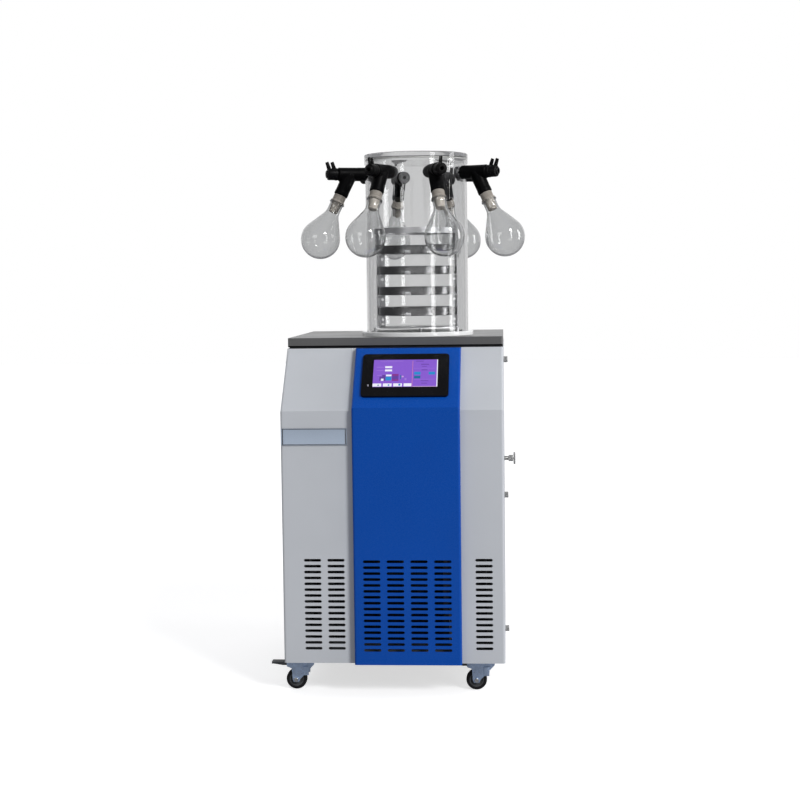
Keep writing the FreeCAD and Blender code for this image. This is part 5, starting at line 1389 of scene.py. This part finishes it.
# the marks of the display: finish, left, right, top and bottom as shares of the lit area, and layer
DISPLAY_MARKS = (
    ("lit_white", -0.082, -0.060, 0.91, 0.97, 0),
    ("lit_faint", -0.074, -0.068, 0.975, 0.99, 0),
    ("lit_salmon", 0.606, 0.613, 0.05, 1.0, 1),
    ("lit_white", 0.985, 1.0, 0.0, 1.0, 1),
    ("lit_pink", 0.62, 0.985, 0.98, 1.0, 1),
    ("lit_faint", 0.05, 0.16, 0.262, 0.285, 1),
    ("lit_faint", 0.05, 0.16, 0.385, 0.405, 1),
    ("lit_faint", 0.06, 0.13, 0.565, 0.585, 1),
    ("lit_faint", 0.10, 0.46, 0.045, 0.06, 1),
    ("lit_white", 0.18, 0.29, 0.24, 0.31, 1),
    ("lit_white", 0.18, 0.29, 0.36, 0.43, 1),
    ("lit_dark", 0.10, 0.195, 0.62, 0.78, 1),
    ("lit_dark", 0.14, 0.195, 0.56, 0.62, 1),
    ("lit_white", 0.125, 0.165, 0.70, 0.78, 2),
    ("lit_white", 0.20, 0.285, 0.55, 0.61, 1),
    ("lit_cyan", 0.195, 0.285, 0.625, 0.765, 1),
    ("lit_dark", 0.295, 0.395, 0.55, 0.785, 1),
    ("lit_magenta", 0.295, 0.395, 0.53, 0.60, 2),
    ("lit_magenta", 0.295, 0.395, 0.72, 0.785, 2),
    ("lit_teal", 0.42, 0.435, 0.57, 0.72, 1),
    ("lit_pink", 0.445, 0.475, 0.60, 0.65, 1),
    ("lit_faint", 0.49, 0.52, 0.68, 0.76, 1),
    ("lit_white", 0.0, 0.135, 0.875, 0.985, 1),
    ("lit_white", 0.16, 0.295, 0.875, 0.985, 1),
    ("lit_white", 0.32, 0.455, 0.875, 0.985, 1),
    ("lit_white", 0.48, 0.60, 0.875, 0.985, 1),
    ("lit_cyan", 0.235, 0.26, 0.91, 0.96, 2),
    ("lit_cyan", 0.40, 0.43, 0.89, 0.96, 2),
    ("lit_teal", 0.075, 0.10, 0.92, 0.955, 2),
    ("lit_dark", 0.66, 0.78, 0.05, 0.07, 1),
    ("lit_dark", 0.74, 0.86, 0.165, 0.19, 1),
    ("lit_dark", 0.75, 0.83, 0.25, 0.265, 1),
    ("lit_faint", 0.63, 0.96, 0.32, 0.33, 1),
    ("lit_dark", 0.75, 0.84, 0.375, 0.40, 1),
    ("lit_cyan", 0.635, 0.735, 0.455, 0.56, 1),
    ("lit_cyan", 0.86, 0.96, 0.455, 0.56, 1),
    ("lit_teal", 0.635, 0.735, 0.60, 0.70, 1),
    ("lit_faint", 0.63, 0.96, 0.725, 0.735, 1),
    ("lit_dark", 0.74, 0.86, 0.775, 0.795, 1),
    ("lit_dark", 0.75, 0.84, 0.865, 0.885, 1),
)


class DRYER_OT_display(bpy.types.Operator):
    """Model the display's fields and buttons as thin tiles"""

    bl_idname = "dryer.display"
    bl_label = "Display"

    def execute(self, context):
        low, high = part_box("display_screen")
        face = placed((low + high) / 2, Matrix.Rotation(math.pi / 4, 4, "X"))
        width = high.x - low.x
        thick = 0.002
        sunk = 0.0006
        layer_step = 0.00012
        tall = (high.z - low.z) * math.sqrt(2) - thick
        back = thick / 2 - sunk
        for finish in sorted({mark[0] for mark in DISPLAY_MARKS}):
            tiles = []
            for name, left, right, top, bottom, layer in DISPLAY_MARKS:
                if name == finish:
                    front = thick / 2 + layer_step * layer
                    tiles.append(block("tile", ((left - 0.5) * width, (0.5 - bottom) * tall, back),
                                       ((right - 0.5) * width, (0.5 - top) * tall, front)))
            piece = join(f"display_{finish}", tiles) if len(tiles) > 1 else tiles[0]
            piece.name = f"display_{finish}"
            ease_edges(piece, 0.00004, 1)
            move(piece, face)
            seat(coat(piece, finish), CABINET, "screen")
        return {"FINISHED"}


OPERATORS = (
    DRYER_OT_finishes, DRYER_OT_valves, DRYER_OT_knobs, DRYER_OT_flasks, DRYER_OT_nameplate,
    DRYER_OT_condenser, DRYER_OT_side_screws, DRYER_OT_drain, DRYER_OT_ring_screws,
    DRYER_OT_worktop_strip, DRYER_OT_trays, DRYER_OT_wheels, DRYER_OT_casters, DRYER_OT_display,
    DRYER_OT_stage,
)
GROUPS = {
    "dryer_valves": ValveSizes,
    "dryer_flasks": FlaskSizes,
    "dryer_fittings": FittingSizes,
    "dryer_colours": FinishColours,
    "dryer_stage": StageSettings,
}


class DRYER_PT_looks(bpy.types.Panel):
    """Builds the looks of the freeze dryer piece by piece"""

    bl_idname = "DRYER_PT_looks"
    bl_label = "Freeze Dryer"
    bl_space_type = "VIEW_3D"
    bl_region_type = "UI"
    bl_category = "Freeze Dryer"

    def draw(self, context):
        for operator in OPERATORS:
            self.layout.operator(operator.bl_idname)
        for name, group in GROUPS.items():
            section = self.layout.box()
            for setting in group.__annotations__:
                label = setting.replace("_", " ").capitalize()
                section.prop(getattr(context.scene, name), setting, text=label)


def register():
    for group in GROUPS.values():
        bpy.utils.register_class(group)
    for name, group in GROUPS.items():
        setattr(bpy.types.Scene, name, PointerProperty(type=group))
    for operator in OPERATORS:
        bpy.utils.register_class(operator)
    bpy.utils.register_class(DRYER_PT_looks)


def unregister():
    bpy.utils.unregister_class(DRYER_PT_looks)
    for operator in reversed(OPERATORS):
        bpy.utils.unregister_class(operator)
    for name in GROUPS:
        delattr(bpy.types.Scene, name)
    for group in GROUPS.values():
        bpy.utils.unregister_class(group)


def main():
    register()
    for operator in OPERATORS:
        family, name = operator.bl_idname.split(".")
        getattr(getattr(bpy.ops, family), name)()


if __name__ == "__main__":
    main()
